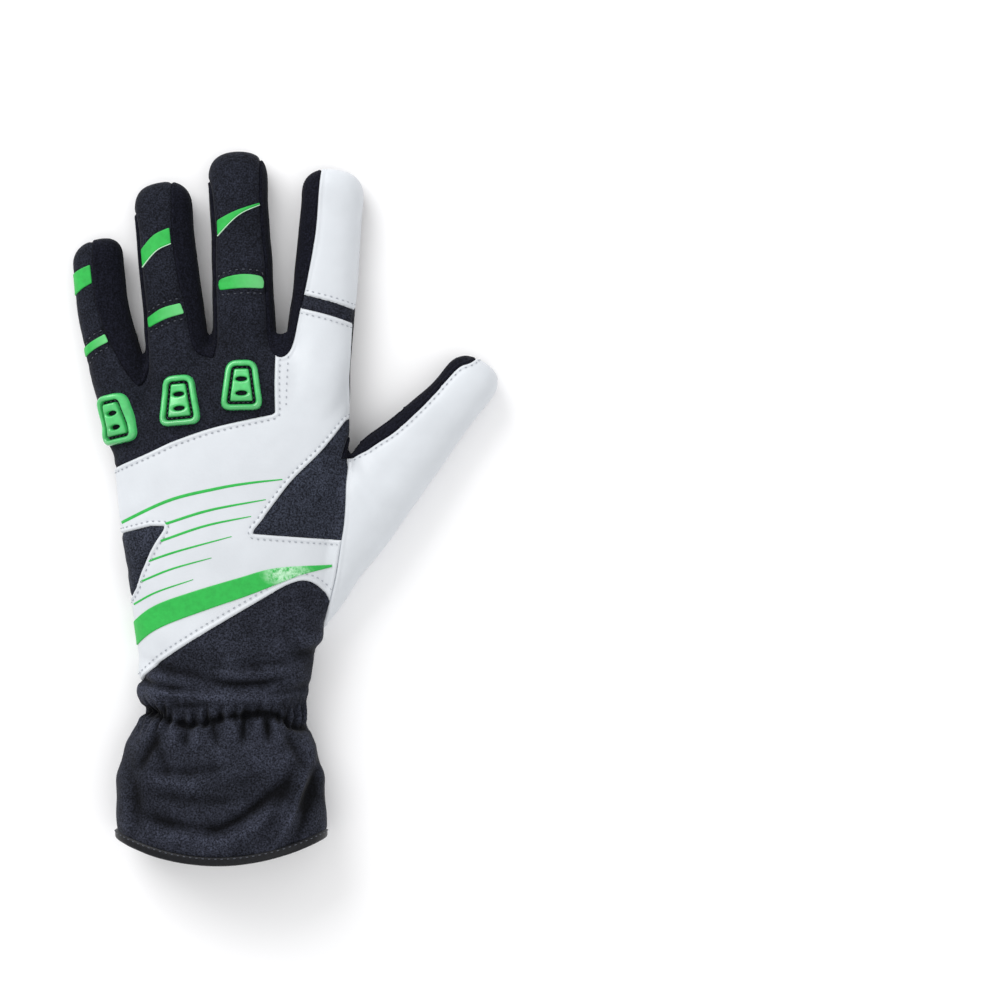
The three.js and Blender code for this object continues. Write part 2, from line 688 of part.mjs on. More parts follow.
// Moves a prism made about the origin to a knuckle, leaning in plan and tilted to the side.
function atKnuckle(outline, place) {
  const shape = new THREE.Shape(outline.map(([x, y]) => new THREE.Vector2(x, y)));
  const geometry = new THREE.ExtrudeGeometry(shape, { depth: handHeight, bevelEnabled: false });
  const [x, y] = onHand(place.across, place.along);
  const row = bodyRows.findLast((section) => section.y <= y);
  const share = Math.min(edgeShare, Math.abs((x - row.middle) / (row.width / 2)));
  const side = row.height * handOutline.side;
  const rise = (1 - share ** handOutline.power) ** (1 / handOutline.power);
  const turn = new THREE.Matrix4().makeRotationZ(-place.lean * degrees);
  turn.multiply(new THREE.Matrix4().makeRotationY(place.tilt * degrees));
  const height = clothBase + side + (row.height - side) * rise;
  geometry.translate(0, 0, -cutterSink).applyMatrix4(turn).translate(x, y, height);
  return solidOf(geometry);
}

function slotOutline(centre) {
  const steps = 6;
  return Array.from({ length: steps }, (_, i) => {
    const turn = (i / steps) * 2 * Math.PI;
    return [(slotSize.long / 2) * Math.cos(turn), centre + (slotSize.high / 2) * Math.sin(turn)];
  });
}

const rimSkin = skin(gap, gap + guardThickness);
const coreSkin = skin(gap, gap + guardThickness - gap);
const guardPieces = Object.fromEntries(
  Object.entries(guardPlaces).flatMap(([finger, place]) => {
    const { rim, slit } = guardSize;
    const outer = atKnuckle(guardOutline(0, 2), place);
    const inner = atKnuckle(guardOutline(rim, 1), place);
    const core = atKnuckle(guardOutline(rim + slit, 1), place);
    const slots = slotShares.map((share) => atKnuckle(slotOutline(share * guardSize.long), place));
    const slotted = slots.reduce((solid, slot) => solid.subtract(slot), coreSkin.intersect(core));
    return [
      [`guard_rim_${finger}`, mainBody(rimSkin.intersect(outer).subtract(inner))],
      [`guard_core_${finger}`, mainBody(slotted)],
    ];
  }),
);

// Silicone grip prints: two fields on the palm, and three linked pads under each digit
const gripMainOutline = rounded(
  [
    onHand(-0.026, 0.885),
    onHand(-0.396, 0.743),
    onHand(-0.43, 0.68),
    onHand(-0.343, 0.486),
    onHand(-0.235, 0.299),
    onHand(-0.175, 0.262),
    onHand(0.004, 0.33),
    onHand(0.004, 0.6),
    onHand(-0.02, 0.632),
    onHand(0.37, 0.672),
    onHand(0.405, 0.71),
    onHand(0.405, 0.83),
    onHand(0.36, 0.858),
    onHand(0.16, 0.885),
  ],
  gripCorner,
);
const gripThenarOutline = rounded(
  [
    onHand(0.046, 0.608),
    onHand(0.052, 0.372),
    onHand(0.09, 0.353),
    onHand(0.256, 0.4),
    onHand(0.38, 0.45),
    onHand(0.378, 0.58),
    onHand(0.345, 0.606),
  ],
  gripCorner,
);
// Pads by their ends along the digit and their half width, with a neck from each to the next.
const padRows = [
  { from: 0.24, to: 0.42, half: 0.42 },
  { from: 0.48, to: 0.63, half: 0.38 },
  { from: 0.73, to: 0.89, half: 0.36 },
];
const thumbPadRows = [
  { from: 0.5, to: 0.62, half: 0.3 },
  { from: 0.68, to: 0.78, half: 0.34 },
  { from: 0.83, to: 0.94, half: 0.36 },
];
const neck = { half: 0.09, from: 0.2, to: -0.2, overlap: 0.02 };

function gripShape(digit, rows) {
  const pads = rows.map(({ from, to, half }) =>
    prism(
      rounded(
        [
          onDigit(digit, -half, from),
          onDigit(digit, half, from),
          onDigit(digit, half, to),
          onDigit(digit, -half, to),
        ],
        padCorner,
        1,
      ),
    ),
  );
  const necks = rows.slice(1).map((row, i) =>
    prism([
      onDigit(digit, neck.from - neck.half, rows[i].to - neck.overlap),
      onDigit(digit, neck.from + neck.half, rows[i].to - neck.overlap),
      onDigit(digit, neck.to + neck.half, row.from + neck.overlap),
      onDigit(digit, neck.to - neck.half, row.from + neck.overlap),
    ]),
  );
  return [...pads, ...necks].reduce((shape, pad) => shape.add(pad));
}

const gripSkin = skin(gap, clothBase).intersect(prism(everywhere, soleSpan[0], palmSeamHeight - gap));
const gripPieces = {
  grip_palm: mainBody(gripSkin.intersect(prism(gripMainOutline))),
  grip_thenar: mainBody(gripSkin.intersect(prism(gripThenarOutline))),
};
Object.entries(digits).forEach(([name, digit]) => {
  const rows = name === "thumb" ? thumbPadRows : padRows;
  gripPieces[`grip_${name}`] = mainBody(gripSkin.intersect(gripShape(digit, rows)));
});

// Materials by finish
const softshell = new THREE.MeshStandardMaterial({ color: "#23242b", roughness: 0.9, metalness: 0 });
const sideCloth = new THREE.MeshStandardMaterial({ color: "#17181d", roughness: 0.9, metalness: 0 });
const whiteLeather = new THREE.MeshStandardMaterial({ color: "#dfe3ea", roughness: 0.5, metalness: 0 });
const suede = new THREE.MeshStandardMaterial({ color: "#1b1c22", roughness: 0.95, metalness: 0 });
const greenPrint = new THREE.MeshStandardMaterial({ color: "#2fbf4e", roughness: 0.45, metalness: 0 });
const guardRubber = new THREE.MeshStandardMaterial({ color: "#5fd27c", roughness: 0.4, metalness: 0 });
const silicone = new THREE.MeshStandardMaterial({ color: "#14161b", roughness: 0.25, metalness: 0 });
const bindingLeather = new THREE.MeshStandardMaterial({ color: "#141519", roughness: 0.55, metalness: 0 });

const glove = new THREE.Group();
glove.name = "karting_glove";

function addPiece(name, solid, material) {
  const { numProp, vertProperties, triVerts } = solid.getMesh();
  const positions = new Float32Array((vertProperties.length / numProp) * 3);
  for (let i = 0; i < positions.length / 3; i++) {
    positions.set(vertProperties.subarray(i * numProp, i * numProp + 3), i * 3);
  }
  const geometry = new THREE.BufferGeometry();
  geometry.setAttribute("position", new THREE.BufferAttribute(positions, 3));
  geometry.setIndex(new THREE.BufferAttribute(new Uint32Array(triVerts), 1));
  geometry.computeVertexNormals();
  const mesh = new THREE.Mesh(geometry, material);
  mesh.name = name;
  glove.add(mesh);
}

const backMaterials = {
  knuckle_panel: softshell,
  web_panel: softshell,
  ulnar_inset: softshell,
  wrist_panel: softshell,
  index_joint_band: softshell,
};
// Leaves out the flattest detail. The grip prints keep theirs, because they lie thin and close under the palm.
const plainer = (solid) => solid.simplify(finest);
Object.entries(backPanels).forEach(([name, solid]) => {
  addPiece(name, plainer(solid), backMaterials[name] ?? whiteLeather);
});
Object.entries(stripPanels).forEach(([name, solid]) => addPiece(name, plainer(solid), sideCloth));
addPiece("palm_panel", plainer(palmPanels.palm_panel), suede);
addPiece("cuff_palm", plainer(palmPanels.cuff_palm), softshell);
addPiece("hem_binding", hemBinding(), bindingLeather);
Object.entries(stripePieces).forEach(([name, solid]) => addPiece(name, plainer(solid), greenPrint));
Object.entries(guardPieces).forEach(([name, solid]) => addPiece(name, plainer(solid), guardRubber));
Object.entries(gripPieces).forEach(([name, solid]) => addPiece(name, solid, silicone));

// The middle of the glove's outline in plan goes to the origin.
const bounds = new THREE.Box3().setFromObject(glove);
const middle = bounds.getCenter(new THREE.Vector3());
glove.position.set(-middle.x, -middle.y, -bounds.min.z);

export default glove;
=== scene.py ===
"""A left-hand karting glove lying palm down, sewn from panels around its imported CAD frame."""

import math
from functools import lru_cache

import bpy
import numpy as np
from bpy.props import FloatProperty, FloatVectorProperty, PointerProperty
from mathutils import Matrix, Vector
from mathutils.bvhtree import BVHTree
from mathutils.kdtree import KDTree


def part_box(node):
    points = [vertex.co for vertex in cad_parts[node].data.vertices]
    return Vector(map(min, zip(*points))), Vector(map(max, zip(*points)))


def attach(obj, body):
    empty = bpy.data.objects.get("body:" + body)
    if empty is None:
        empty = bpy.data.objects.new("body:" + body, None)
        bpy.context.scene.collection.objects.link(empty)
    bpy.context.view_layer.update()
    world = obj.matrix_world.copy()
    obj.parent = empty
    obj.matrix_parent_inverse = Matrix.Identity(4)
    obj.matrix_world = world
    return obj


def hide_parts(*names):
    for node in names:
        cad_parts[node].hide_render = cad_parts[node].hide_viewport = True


bl_info = {
    "name": "Karting Glove",
    "version": (1, 0, 0),
    "blender": (4, 5, 0),
    "location": "3D View > Sidebar > Glove",
    "description": "Builds a sewn karting glove with a gauntlet cuff around a packed CAD frame",
    "category": "Object",
}

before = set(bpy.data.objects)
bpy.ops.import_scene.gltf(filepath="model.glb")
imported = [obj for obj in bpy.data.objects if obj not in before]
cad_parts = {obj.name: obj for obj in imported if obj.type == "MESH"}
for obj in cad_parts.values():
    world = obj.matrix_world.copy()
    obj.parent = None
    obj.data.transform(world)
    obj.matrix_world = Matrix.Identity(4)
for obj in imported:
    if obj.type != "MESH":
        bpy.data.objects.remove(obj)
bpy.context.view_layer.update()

MM = 0.001  # the forms below are worked out in millimetres, and the scene is in metres

# The solids' driving sizes
GAP = 0.3
GRIP = 0.8
WALL = 1.8
HAND = {"width": 103.0, "length": 158.0, "height": 28.0}
WAIST = {"width": 68.5, "height": 27.0}
CUFF = {"width": 88.0, "length": 61.0, "height": 36.0, "hem_rise": 10.0}
CLOTH_BASE = GAP + GRIP  # height of the cloth's underside
PALM_SEAM = 7.0  # height of the seam between palm and back
INDEX_SEAM = 12.5  # the same seam where the palm climbs the side of the index finger
GUARD = {"wide": 18.2, "narrow": 12.6, "long": 21.2, "rim": 2.6, "slit": 1.15, "corner": 4.6}
SLOT = {"long": 4.8, "high": 2.0, "places": (-0.16, 0.12)}


def srgb(code):
    """A hex colour as linear red, green and blue."""
    values = [int(code[i : i + 2], 16) / 255 for i in (1, 3, 5)]
    return [v / 12.92 if v <= 0.04045 else ((v + 0.055) / 1.055) ** 2.4 for v in values]


def table(names, *rows):
    """Columns of numbers by name."""
    return dict(zip(names.split(), np.array(rows, float).T))


# Each digit: its root as shares of the hand, its lean from +Y in degrees, and its own sizes
DIGITS = {
    "pinky": dict(across=-0.404, along=0.81, lean=-11.7, length=73.3, width=21.6, height=15.5, bend=-3.2),
    "ring": dict(across=-0.188, along=0.837, lean=-6.3, length=92.1, width=24.6, height=17, bend=-0.6),
    "middle": dict(across=0.068, along=0.837, lean=-2.5, length=104.7, width=24.8, height=17.5, bend=0.2),
    "index": dict(across=0.33, along=0.837, lean=5.5, length=97.4, width=26.2, height=17.5, bend=1.2),
    "thumb": dict(across=0.375, along=0.305, lean=34.2, length=120.9, width=23.3, height=18.5, bend=-7.2),
}
FINGER_ROWS = table(
    "along width height bend",
    (-0.15, 1.08, 1.24, -0.3),
    (0.05, 1.14, 1.25, 0.2),
    (0.28, 1.07, 1.08, 0.8),
    (0.55, 1.01, 0.99, 1),
    (0.8, 0.98, 0.94, 0.64),
    (1, 0.98, 0.94, 0),
)
THUMB_ROWS = table(
    "along width height bend",
    (-0.12, 0.4, 0.75, -0.2),
    (0, 0.68, 0.95, 0),
    (0.15, 1.0, 1.12, 0.52),
    (0.3, 1.3, 1.22, 0.81),
    (0.5, 1.46, 1.16, 1),
    (0.69, 1.2, 1.04, 0.54),
    (0.87, 1.0, 0.97, 0.1),
    (1, 1.0, 0.97, 0),
)
TIP = {"length": 0.46, "power": 2.5, "thinning": 0.8}  # the round end, its length as a share of the width
CUFF_ROWS = table(
    "along flare rise middle bow",
    (0, 0.97, 1, -0.031, 1),
    (0.22, 0.99, 1, -0.033, 0.75),
    (0.42, 1.0, 0.88, -0.035, 0.5),
    (0.6, 0.83, 0.68, -0.036, 0.3),
    (0.76, 0.56, 0.44, -0.035, 0.15),
    (0.89, 0.24, 0.16, -0.03, 0),
    (1, 0, 0, -0.024, 0),
)
HAND_ROWS = table(
    "along width height middle bow skew",
    (0.06, 0.682, 0.99, -0.02, 0, 0),
    (0.15, 0.718, 1.02, -0.012, 0, 0),
    (0.28, 0.792, 1.0, 0.003, 0, 0),
    (0.42, 0.87, 1.0, 0.008, 0, 0),
    (0.58, 0.928, 0.98, 0.007, 0, 0),
    (0.72, 0.955, 0.94, 0.007, -0.02, 0.03),
    (0.82, 0.99, 0.87, -0.005, -0.05, 0.07),
    (0.92, 1.01, 0.74, -0.012, -0.095, 0.115),
    (1, 0.99, 0.5, -0.012, -0.12, 0.15),
)
HAND_FORM = {"flat": 0.62, "side": 0.42, "power": 2.3}
DIGIT_FORM = {"flat": 0.55, "side": 0.45, "power": 2.2}
BODY_COUNTS = (121, 9, 121)  # points of a ring along its sole, each corner and its crown
DIGIT_COUNTS = (21, 7, 61)
HEM_RADIUS = CLOTH_BASE + WALL / 2
MOUTH_START = 2 * HEM_RADIUS + GAP
MOUTH_TUCK = 1.6  # how far the cloth runs into the binding
MOUTH_SPARE = 12.0  # how far the form runs on past the mouth, so that its closed end is cut off
SEWING_GAP = 2.1  # from an insert or a seam to the stitches beside it

# The frame's place: the hem binding starts at the cuff's end and is even about the mouth's middle.
hem_low, hem_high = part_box("hem_binding")
hem_middle = (hem_low.x + hem_high.x) / 2 / MM
OFFSET = np.array([hem_middle - CUFF_ROWS["middle"][0] * HAND["width"], hem_low.y / MM, 0.0])


def in_row_frame(points):
    """Points in millimetres of the glove's own layout, as metres in the frame that all the tools share."""
    return (np.asarray(points, float) + OFFSET) * MM


# Numbers and lines


def unit(vectors):
    return vectors / np.maximum(np.linalg.norm(vectors, axis=-1, keepdims=True), 1e-12)


def between(low, high, share):
    return low + (high - low) * share


def fade(value, start, end):
    """Goes smoothly from 0 at start to 1 at end."""
    share = np.clip((value - start) / (end - start), 0, 1)
    return share * share * (3 - 2 * share)


def eased(x, xs, ys):
    """A smooth curve through rows of a table, which never swings past them."""
    xs, ys = np.asarray(xs, float), np.asarray(ys, float)
    steps, slopes = np.diff(xs), np.diff(ys) / np.diff(xs)
    bends = np.zeros(len(xs))
    same = slopes[:-1] * slopes[1:] > 0
    first = 2 * steps[1:] + steps[:-1]
    second = steps[1:] + 2 * steps[:-1]
    safe = np.where(same, slopes[:-1], 1), np.where(same, slopes[1:], 1)
    bends[1:-1] = np.where(same, (first + second) / (first / safe[0] + second / safe[1]), 0)
    bends[0], bends[-1] = slopes[0], slopes[-1]
    x = np.clip(x, xs[0], xs[-1])
    row = np.clip(np.searchsorted(xs, x) - 1, 0, len(xs) - 2)
    t = (x - xs[row]) / steps[row]
    low, high = ys[row], ys[row + 1]
    out, back = bends[row] * steps[row], bends[row + 1] * steps[row]
    ends = low * (2 * t**3 - 3 * t**2 + 1) + high * (3 * t**2 - 2 * t**3)
    return ends + out * (t**3 - 2 * t**2 + t) + back * (t**3 - t**2)


def curve(points, steps=8):
    """A smooth line through a few plan points."""
    points = np.array(points, float)
    padded = np.vstack([2 * points[0] - points[1], points, 2 * points[-1] - points[-2]])
    t = np.linspace(0, 1, steps, endpoint=False)[:, None]
    pieces = []
    for before, a, b, after in zip(padded, padded[1:], padded[2:], padded[3:]):
        bend = (2 * before - 5 * a + 4 * b - after) * t**2
        twist = (3 * a - before - 3 * b + after) * t**3
        pieces.append(0.5 * (2 * a + (b - before) * t + bend + twist))
    return np.vstack([*pieces, points[-1:]])


def grown(outline, distance):
    """A closed plan outline grown outwards, or shrunk where the distance is negative."""
    outline = np.array(outline, float)
    x, y = outline.T
    if np.sum(x * np.roll(y, -1) - np.roll(x, -1) * y) < 0:
        outline = outline[::-1]
    before, after = np.roll(outline, 1, 0), np.roll(outline, -1, 0)
    first, second = unit(outline - before), unit(after - outline)
    out = np.stack([first[:, 1] + second[:, 1], -first[:, 0] - second[:, 0]], 1)
    turn = np.maximum(0.5, 1 + np.sum(first * second, 1))
    return outline + out * (distance / turn)[:, None]


def rounded(corners, radius, steps=8):
    """A closed plan outline with its corners rounded by curves, each side divided too."""
    corners = np.array(corners, float)
    t = np.linspace(0, 1, steps)[:, None]
    arcs = []
    for i, here in enumerate(corners):
        before, after = corners[i - 1], corners[(i + 1) % len(corners)]
        reach = min(radius, 0.45 * np.linalg.norm(before - here), 0.45 * np.linalg.norm(after - here))
        start = here + unit(before - here) * reach
        end = here + unit(after - here) * reach
        arcs.append(start * (1 - t) ** 2 + 2 * here * t * (1 - t) + end * t**2)
    return np.vstack(arcs)


def inside_distance(points, outline):
    """How far each plan point lies inside a closed outline. Outside, it is negative."""
    outline = np.asarray(outline, float)
    nearest = np.full(len(points), np.inf)
    inside = np.zeros(len(points), bool)
    x, y = points[:, 0], points[:, 1]
    for a, b in zip(outline, np.roll(outline, -1, 0)):
        side = b - a
        length = side @ side
        if length < 1e-12:
            continue
        share = np.clip(((x - a[0]) * side[0] + (y - a[1]) * side[1]) / length, 0, 1)
        gap_x, gap_y = x - a[0] - share * side[0], y - a[1] - share * side[1]
        nearest = np.minimum(nearest, gap_x**2 + gap_y**2)
        if a[1] != b[1]:
            across = a[0] + (y - a[1]) * side[0] / side[1]
            inside ^= ((a[1] > y) != (b[1] > y)) & (x < across)
    return np.where(inside, 1, -1) * np.sqrt(nearest)


def on_hand(across, along):
    """A plan point from shares of the hand's width and length."""
    return np.array([across * HAND["width"], CUFF["length"] + along * HAND["length"]])


def digit_rows(name):
    return THUMB_ROWS if name == "thumb" else FINGER_ROWS


def digit_frame(name, along):
    """Middle, direction across, and width of a digit at shares of its length."""
    digit, rows = DIGITS[name], digit_rows(name)
    along = np.atleast_1d(np.asarray(along, float))
    lean = math.radians(digit["lean"])
    forward = np.array([math.sin(lean), math.cos(lean)])
    across = np.array([forward[1], -forward[0]])
    bend = digit["bend"] * eased(along, rows["along"], rows["bend"])
    width = digit["width"] * eased(along, rows["along"], rows["width"])
    middle = on_hand(digit["across"], digit["along"])
    middle = middle + along[:, None] * digit["length"] * forward + bend[:, None] * across
    return middle, across, width


def on_digit(name, across, along):
    """A plan point on a digit from shares of its half width and its length."""
    middle, direction, width = digit_frame(name, along)
    return middle[0] + direction * across * width[0] / 2


def along_digit(name, rows, steps=8):
    return curve([on_digit(name, across, along) for across, along in rows], steps)


# The bare form of the glove


def section(half, bottom, top, form, counts):
    """Rings round a flat sole, two corners and a crown. half, bottom and top hold a row for each ring."""
    sole, corner, crown = counts
    side = bottom + (top - bottom) * form["side"]
    flat = half * form["flat"]
    share = np.linspace(0, 1, sole)
    turn = np.linspace(0, math.pi / 2, corner + 1)[1:-1]
    arc = np.linspace(0, math.pi, crown)
    bulge = 2 / form["power"]
    crown_x = np.sign(np.cos(arc)) * np.abs(np.cos(arc)) ** bulge
    offset = np.hstack(
        [
            flat * (2 * share - 1),
            flat + (half - flat) * np.sin(turn),
            half * crown_x,
            -flat - (half - flat) * np.sin(turn[::-1]),
        ]
    )
    height = np.hstack(
        [
            bottom + 0 * share,
            side - (side - bottom) * np.cos(turn),
            side + (top - side) * np.abs(np.sin(arc)) ** bulge,
            side - (side - bottom) * np.cos(turn[::-1]),
        ]
    )
    kinds = np.repeat(["sole", "corner", "crown", "corner"], [sole, corner - 1, crown, corner - 1])
    shares = np.hstack([share, np.ones(corner - 1), np.linspace(0, 1, crown), np.zeros(corner - 1)])
    return offset, height, kinds, shares


def wound(bands, count, around):
    """Triangles in bands between rings of points. The last ring goes on with the first."""
    row, step = np.meshgrid(np.arange(bands), np.arange(around), indexing="ij")
    a, b = (row * around + step).ravel(), (row * around + (step + 1) % around).ravel()
    c, d = (a + around) % (count * around), (b + around) % (count * around)
    return np.concatenate([np.stack([a, b, d], 1), np.stack([a, d, c], 1)])


def loft(rings):
    """Points and triangles of a closed solid through rings of points."""
    count, around = rings.shape[:2]
    faces = wound(count - 1, count, around)
    hubs = np.array([rings[0].mean(0), rings[-1].mean(0)])
    first, last = count * around, count * around + 1
    ring = np.arange(around)
    turned = (ring + 1) % around
    start = np.stack([np.full(around, first), turned, ring], 1)
    end = np.stack([np.full(around, last), ring + (count - 1) * around, turned + (count - 1) * around], 1)
    return np.vstack([rings.reshape(-1, 3), hubs]), np.vstack([faces, start, end])


# Pleats that the elastic draws in. place is a share of the palm's flat width, depth a share of the deepest.
PLEATS = table(
    "place width depth",
    (0.04, 0.045, 0.7),
    (0.15, 0.04, 1.0),
    (0.25, 0.035, 0.75),
    (0.345, 0.045, 1.0),
    (0.45, 0.035, 0.8),
    (0.54, 0.04, 1.0),
    (0.64, 0.04, 0.7),
    (0.735, 0.04, 1.0),
    (0.84, 0.04, 0.85),
    (0.95, 0.045, 0.9),
)
PLEAT_DEPTH = 3.8
PLEAT_REACH = {"below": 46.0, "above": 26.0}
CROWN_PLEATS = {"count": 4, "depth": 0.4}


def body_rows():
    """The rows of the cuff and hand by column, in millimetres."""
    cuff = {
        "y": between(MOUTH_START, CUFF["length"], CUFF_ROWS["along"]),
        "middle": CUFF_ROWS["middle"] * HAND["width"],
        "width": between(WAIST["width"], CUFF["width"], CUFF_ROWS["flare"]),
        "height": between(WAIST["height"], CUFF["height"], CUFF_ROWS["rise"]),
        "bow": CUFF_ROWS["bow"] * CUFF["hem_rise"],
        "skew": 0 * CUFF_ROWS["bow"],
    }
    hand = {
        "y": CUFF["length"] + HAND_ROWS["along"] * HAND["length"],
        "middle": HAND_ROWS["middle"] * HAND["width"],
        "width": HAND_ROWS["width"] * HAND["width"],
        "height": HAND_ROWS["height"] * HAND["height"],
        "bow": HAND_ROWS["bow"] * HAND["length"],
        "skew": HAND_ROWS["skew"] * HAND["width"],
    }
    return {name: np.concatenate([cuff[name], hand[name]]) for name in cuff}


def body_rings(y, shrink=0.0):
    """Rings of the cuff and hand at heights y along the glove."""
    rows = body_rows()
    column = {name: eased(y, rows["y"], values)[:, None] for name, values in rows.items()}
    half = column["width"] / 2 - shrink
    bottom = CLOTH_BASE + shrink + 0 * half
    top = CLOTH_BASE + column["height"] - shrink
    offset, height, kinds, share = section(half, bottom, top, HAND_FORM, BODY_COUNTS)
    distance = y[:, None] - CUFF["length"]
    reach = np.where(distance < 0, PLEAT_REACH["below"], PLEAT_REACH["above"])
    strength = np.maximum(0, 1 - (distance / reach) ** 2) ** 1.5
    pleats = zip(PLEATS["place"], PLEATS["width"], PLEATS["depth"])
    sole = sum(depth * np.exp(-(((share - place) / width) ** 2)) for place, width, depth in pleats)
    crown = CROWN_PLEATS["depth"] * (0.5 - 0.5 * np.cos(2 * np.pi * CROWN_PLEATS["count"] * share))
    drawn = PLEAT_DEPTH * strength * np.where(kinds == "sole", sole, np.where(kinds == "crown", crown, 0))
    inwards = unit(np.stack([-offset, (bottom + top) / 2 - height], -1)) * drawn[..., None]
    offset = offset + inwards[..., 0]
    height = height + inwards[..., 1]
    lift = column["bow"] * (offset / half) ** 2 + column["skew"] * (offset / half)
    return np.stack([column["middle"] + offset, y[:, None] + lift, height], -1)


def digit_rings(name):
    """Rings of a digit from its root to its round tip."""
    digit, rows = DIGITS[name], digit_rows(name)
    tip = digit["width"] * TIP["length"]
    shaft = digit["length"] - tip
    start = rows["along"][0] * digit["length"]
    steps = np.sin(np.linspace(0, math.pi / 2, 12)) * 0.998
    reach = np.concatenate([np.linspace(start, shaft, 60), shaft + steps[1:] * tip])
    size = np.concatenate([np.ones(60), (1 - steps[1:] ** TIP["power"]) ** (1 / TIP["power"])])[:, None]
    along = reach / digit["length"]
    middle, across, width = digit_frame(name, along)
    height = digit["height"] * eased(along, rows["along"], rows["height"])[:, None]
    side = CLOTH_BASE + height * DIGIT_FORM["side"]
    thin = size ** TIP["thinning"]
    low = side - (side - CLOTH_BASE) * thin
    high = side + (CLOTH_BASE + height - side) * thin
    offset, z, _, _ = section(width[:, None] / 2 * size, low, high, DIGIT_FORM, DIGIT_COUNTS)
    x = middle[:, :1] + across[0] * offset
    y = middle[:, 1:] + across[1] * offset
    return np.stack([x, y, z], -1)


def face_edges(faces):
    """The edges of the faces: all their first ones, then the second and the third."""
    return np.concatenate([faces[:, [0, 1]], faces[:, [1, 2]], faces[:, [2, 0]]])


def unique_edges(faces):
    return np.unique(np.sort(face_edges(faces), 1), axis=0)


def own_points(faces):
    """The numbers of the points that the faces use, and the faces by those points alone."""
    used, index = np.unique(faces, return_inverse=True)
    return used, index.reshape(-1, 3)


def face_normals(points, faces):
    """A direction for each face, twice as long as its area."""
    corners = points[faces]
    return np.cross(corners[:, 1] - corners[:, 0], corners[:, 2] - corners[:, 0])


def vertex_normals(points, faces):
    normal = face_normals(points, faces)
    total = np.zeros_like(points)
    for k in range(3):
        for axis in range(3):
            total[:, axis] += np.bincount(faces[:, k], normal[:, axis], len(points))
    return unit(total)


def neighbour_means(points, edges):
    """The mean place of each point's neighbours."""
    total = np.zeros_like(points)
    for a, b in ((0, 1), (1, 0)):
        for axis in range(3):
            total[:, axis] += np.bincount(edges[:, a], points[edges[:, b], axis], len(points))
    return total / np.bincount(edges.ravel(), minlength=len(points))[:, None]


def relaxed(points, edges, rounds):
    """Points drawn to their neighbours and pushed back, which takes off ripples and keeps the form."""
    for pull in (0.5, -0.52) * rounds:
        points = points + pull * (neighbour_means(points, edges) - points)
    return points


def softened(points, edges, rounds, weight):
    """Points drawn to their neighbours alone, which rounds off a crease."""
    for _ in range(rounds):
        points = points + 0.5 * weight[:, None] * (neighbour_means(points, edges) - points)
    return points


def joined(solids):
    """Several solids as one set of points and faces."""
    points, faces, start = [], [], 0
    for solid_points, solid_faces in solids:
        points.append(solid_points)
        faces.append(solid_faces + start)
        start += len(solid_points)
    return np.vstack(points), np.vstack(faces)


def fused(lofts, voxel):
    """One closed skin round several solids that run into each other, as points and triangles."""
    obj = bpy.data.objects.new("skin", triangle_mesh("skin", *joined(lofts)))
    bpy.context.scene.collection.objects.link(obj)
    fuse = obj.modifiers.new("Fuse", "REMESH")
    fuse.mode = "VOXEL"
    fuse.voxel_size = voxel
    made = obj.evaluated_get(bpy.context.evaluated_depsgraph_get()).to_mesh()
    made.calc_loop_triangles()
    skin = np.empty(len(made.vertices) * 3)
    made.vertices.foreach_get("co", skin)
    triangles = np.empty(len(made.loop_triangles) * 3, int)
    made.loop_triangles.foreach_get("vertices", triangles)
    mesh = obj.data
    bpy.data.objects.remove(obj)
    bpy.data.meshes.remove(mesh)
    return skin.reshape(-1, 3), triangles.reshape(-1, 3)


def triangle_mesh(name, points, faces):
    """A Blender mesh from points and triangles."""
    mesh = bpy.data.meshes.new(name)
    mesh.vertices.add(len(points))
    mesh.vertices.foreach_set("co", np.asarray(points, np.float32).ravel())
    mesh.loops.add(len(faces) * 3)
    mesh.loops.foreach_set("vertex_index", np.asarray(faces, np.int32).ravel())
    mesh.polygons.add(len(faces))
    mesh.polygons.foreach_set("loop_start", np.arange(0, len(faces) * 3, 3, dtype=np.int32))
    mesh.update(calc_edges=True)
    return mesh


# Seam lines and panel outlines in plan. FAR lies outside the glove, in shares.
FAR = 1.6


def hand_curve(*shares, steps=8):
    return curve([on_hand(*share) for share in shares], steps)


def hand_points(*shares):
    return np.array([on_hand(*share) for share in shares])


KNUCKLE = np.vstack(
    [
        hand_curve(
            (-0.62, 0.615), (-0.455, 0.659), (-0.326, 0.694), (-0.21, 0.728), (-0.038, 0.765), (0.192, 0.798),
        ),
        hand_points((0.188, 0.88), (0.19, 0.97), (0.212, 1.06), (0.216, FAR), (-FAR, FAR), (-FAR, 0.6)),
    ]
)
WEB = np.vstack(
    [
        hand_points((0.56, 0.81)),
        hand_curve((0.477, 0.781), (0.383, 0.702), (0.266, 0.625), (0.165, 0.539)),
        hand_curve((0.14, 0.515), (0.105, 0.486), (0.13, 0.481)),
        hand_points((0.458, 0.465), (0.56, 0.462)),
    ]
)
ULNAR = np.vstack(
    [
        hand_points((-0.7, 0.44), (-0.427, 0.484), (-0.314, 0.502), (-0.252, 0.502)),
        hand_curve((-0.262, 0.488), (-0.302, 0.449), (-0.346, 0.393), (-0.374, 0.34)),
        hand_points((-0.42, 0.29), (-0.7, 0.29)),
    ]
)
WRIST = np.vstack(
    [
        hand_points((-0.7, -0.05)),
        hand_curve(
            (-0.349, 0.099), (-0.283, 0.14), (-0.09, 0.221), (0.135, 0.307), (0.247, 0.348),
            (0.322, 0.357), (0.385, 0.332), (0.425, 0.28),
        ),
        hand_points((0.8, 0.1), (0.8, -0.8), (-0.7, -0.8)),
    ]
)
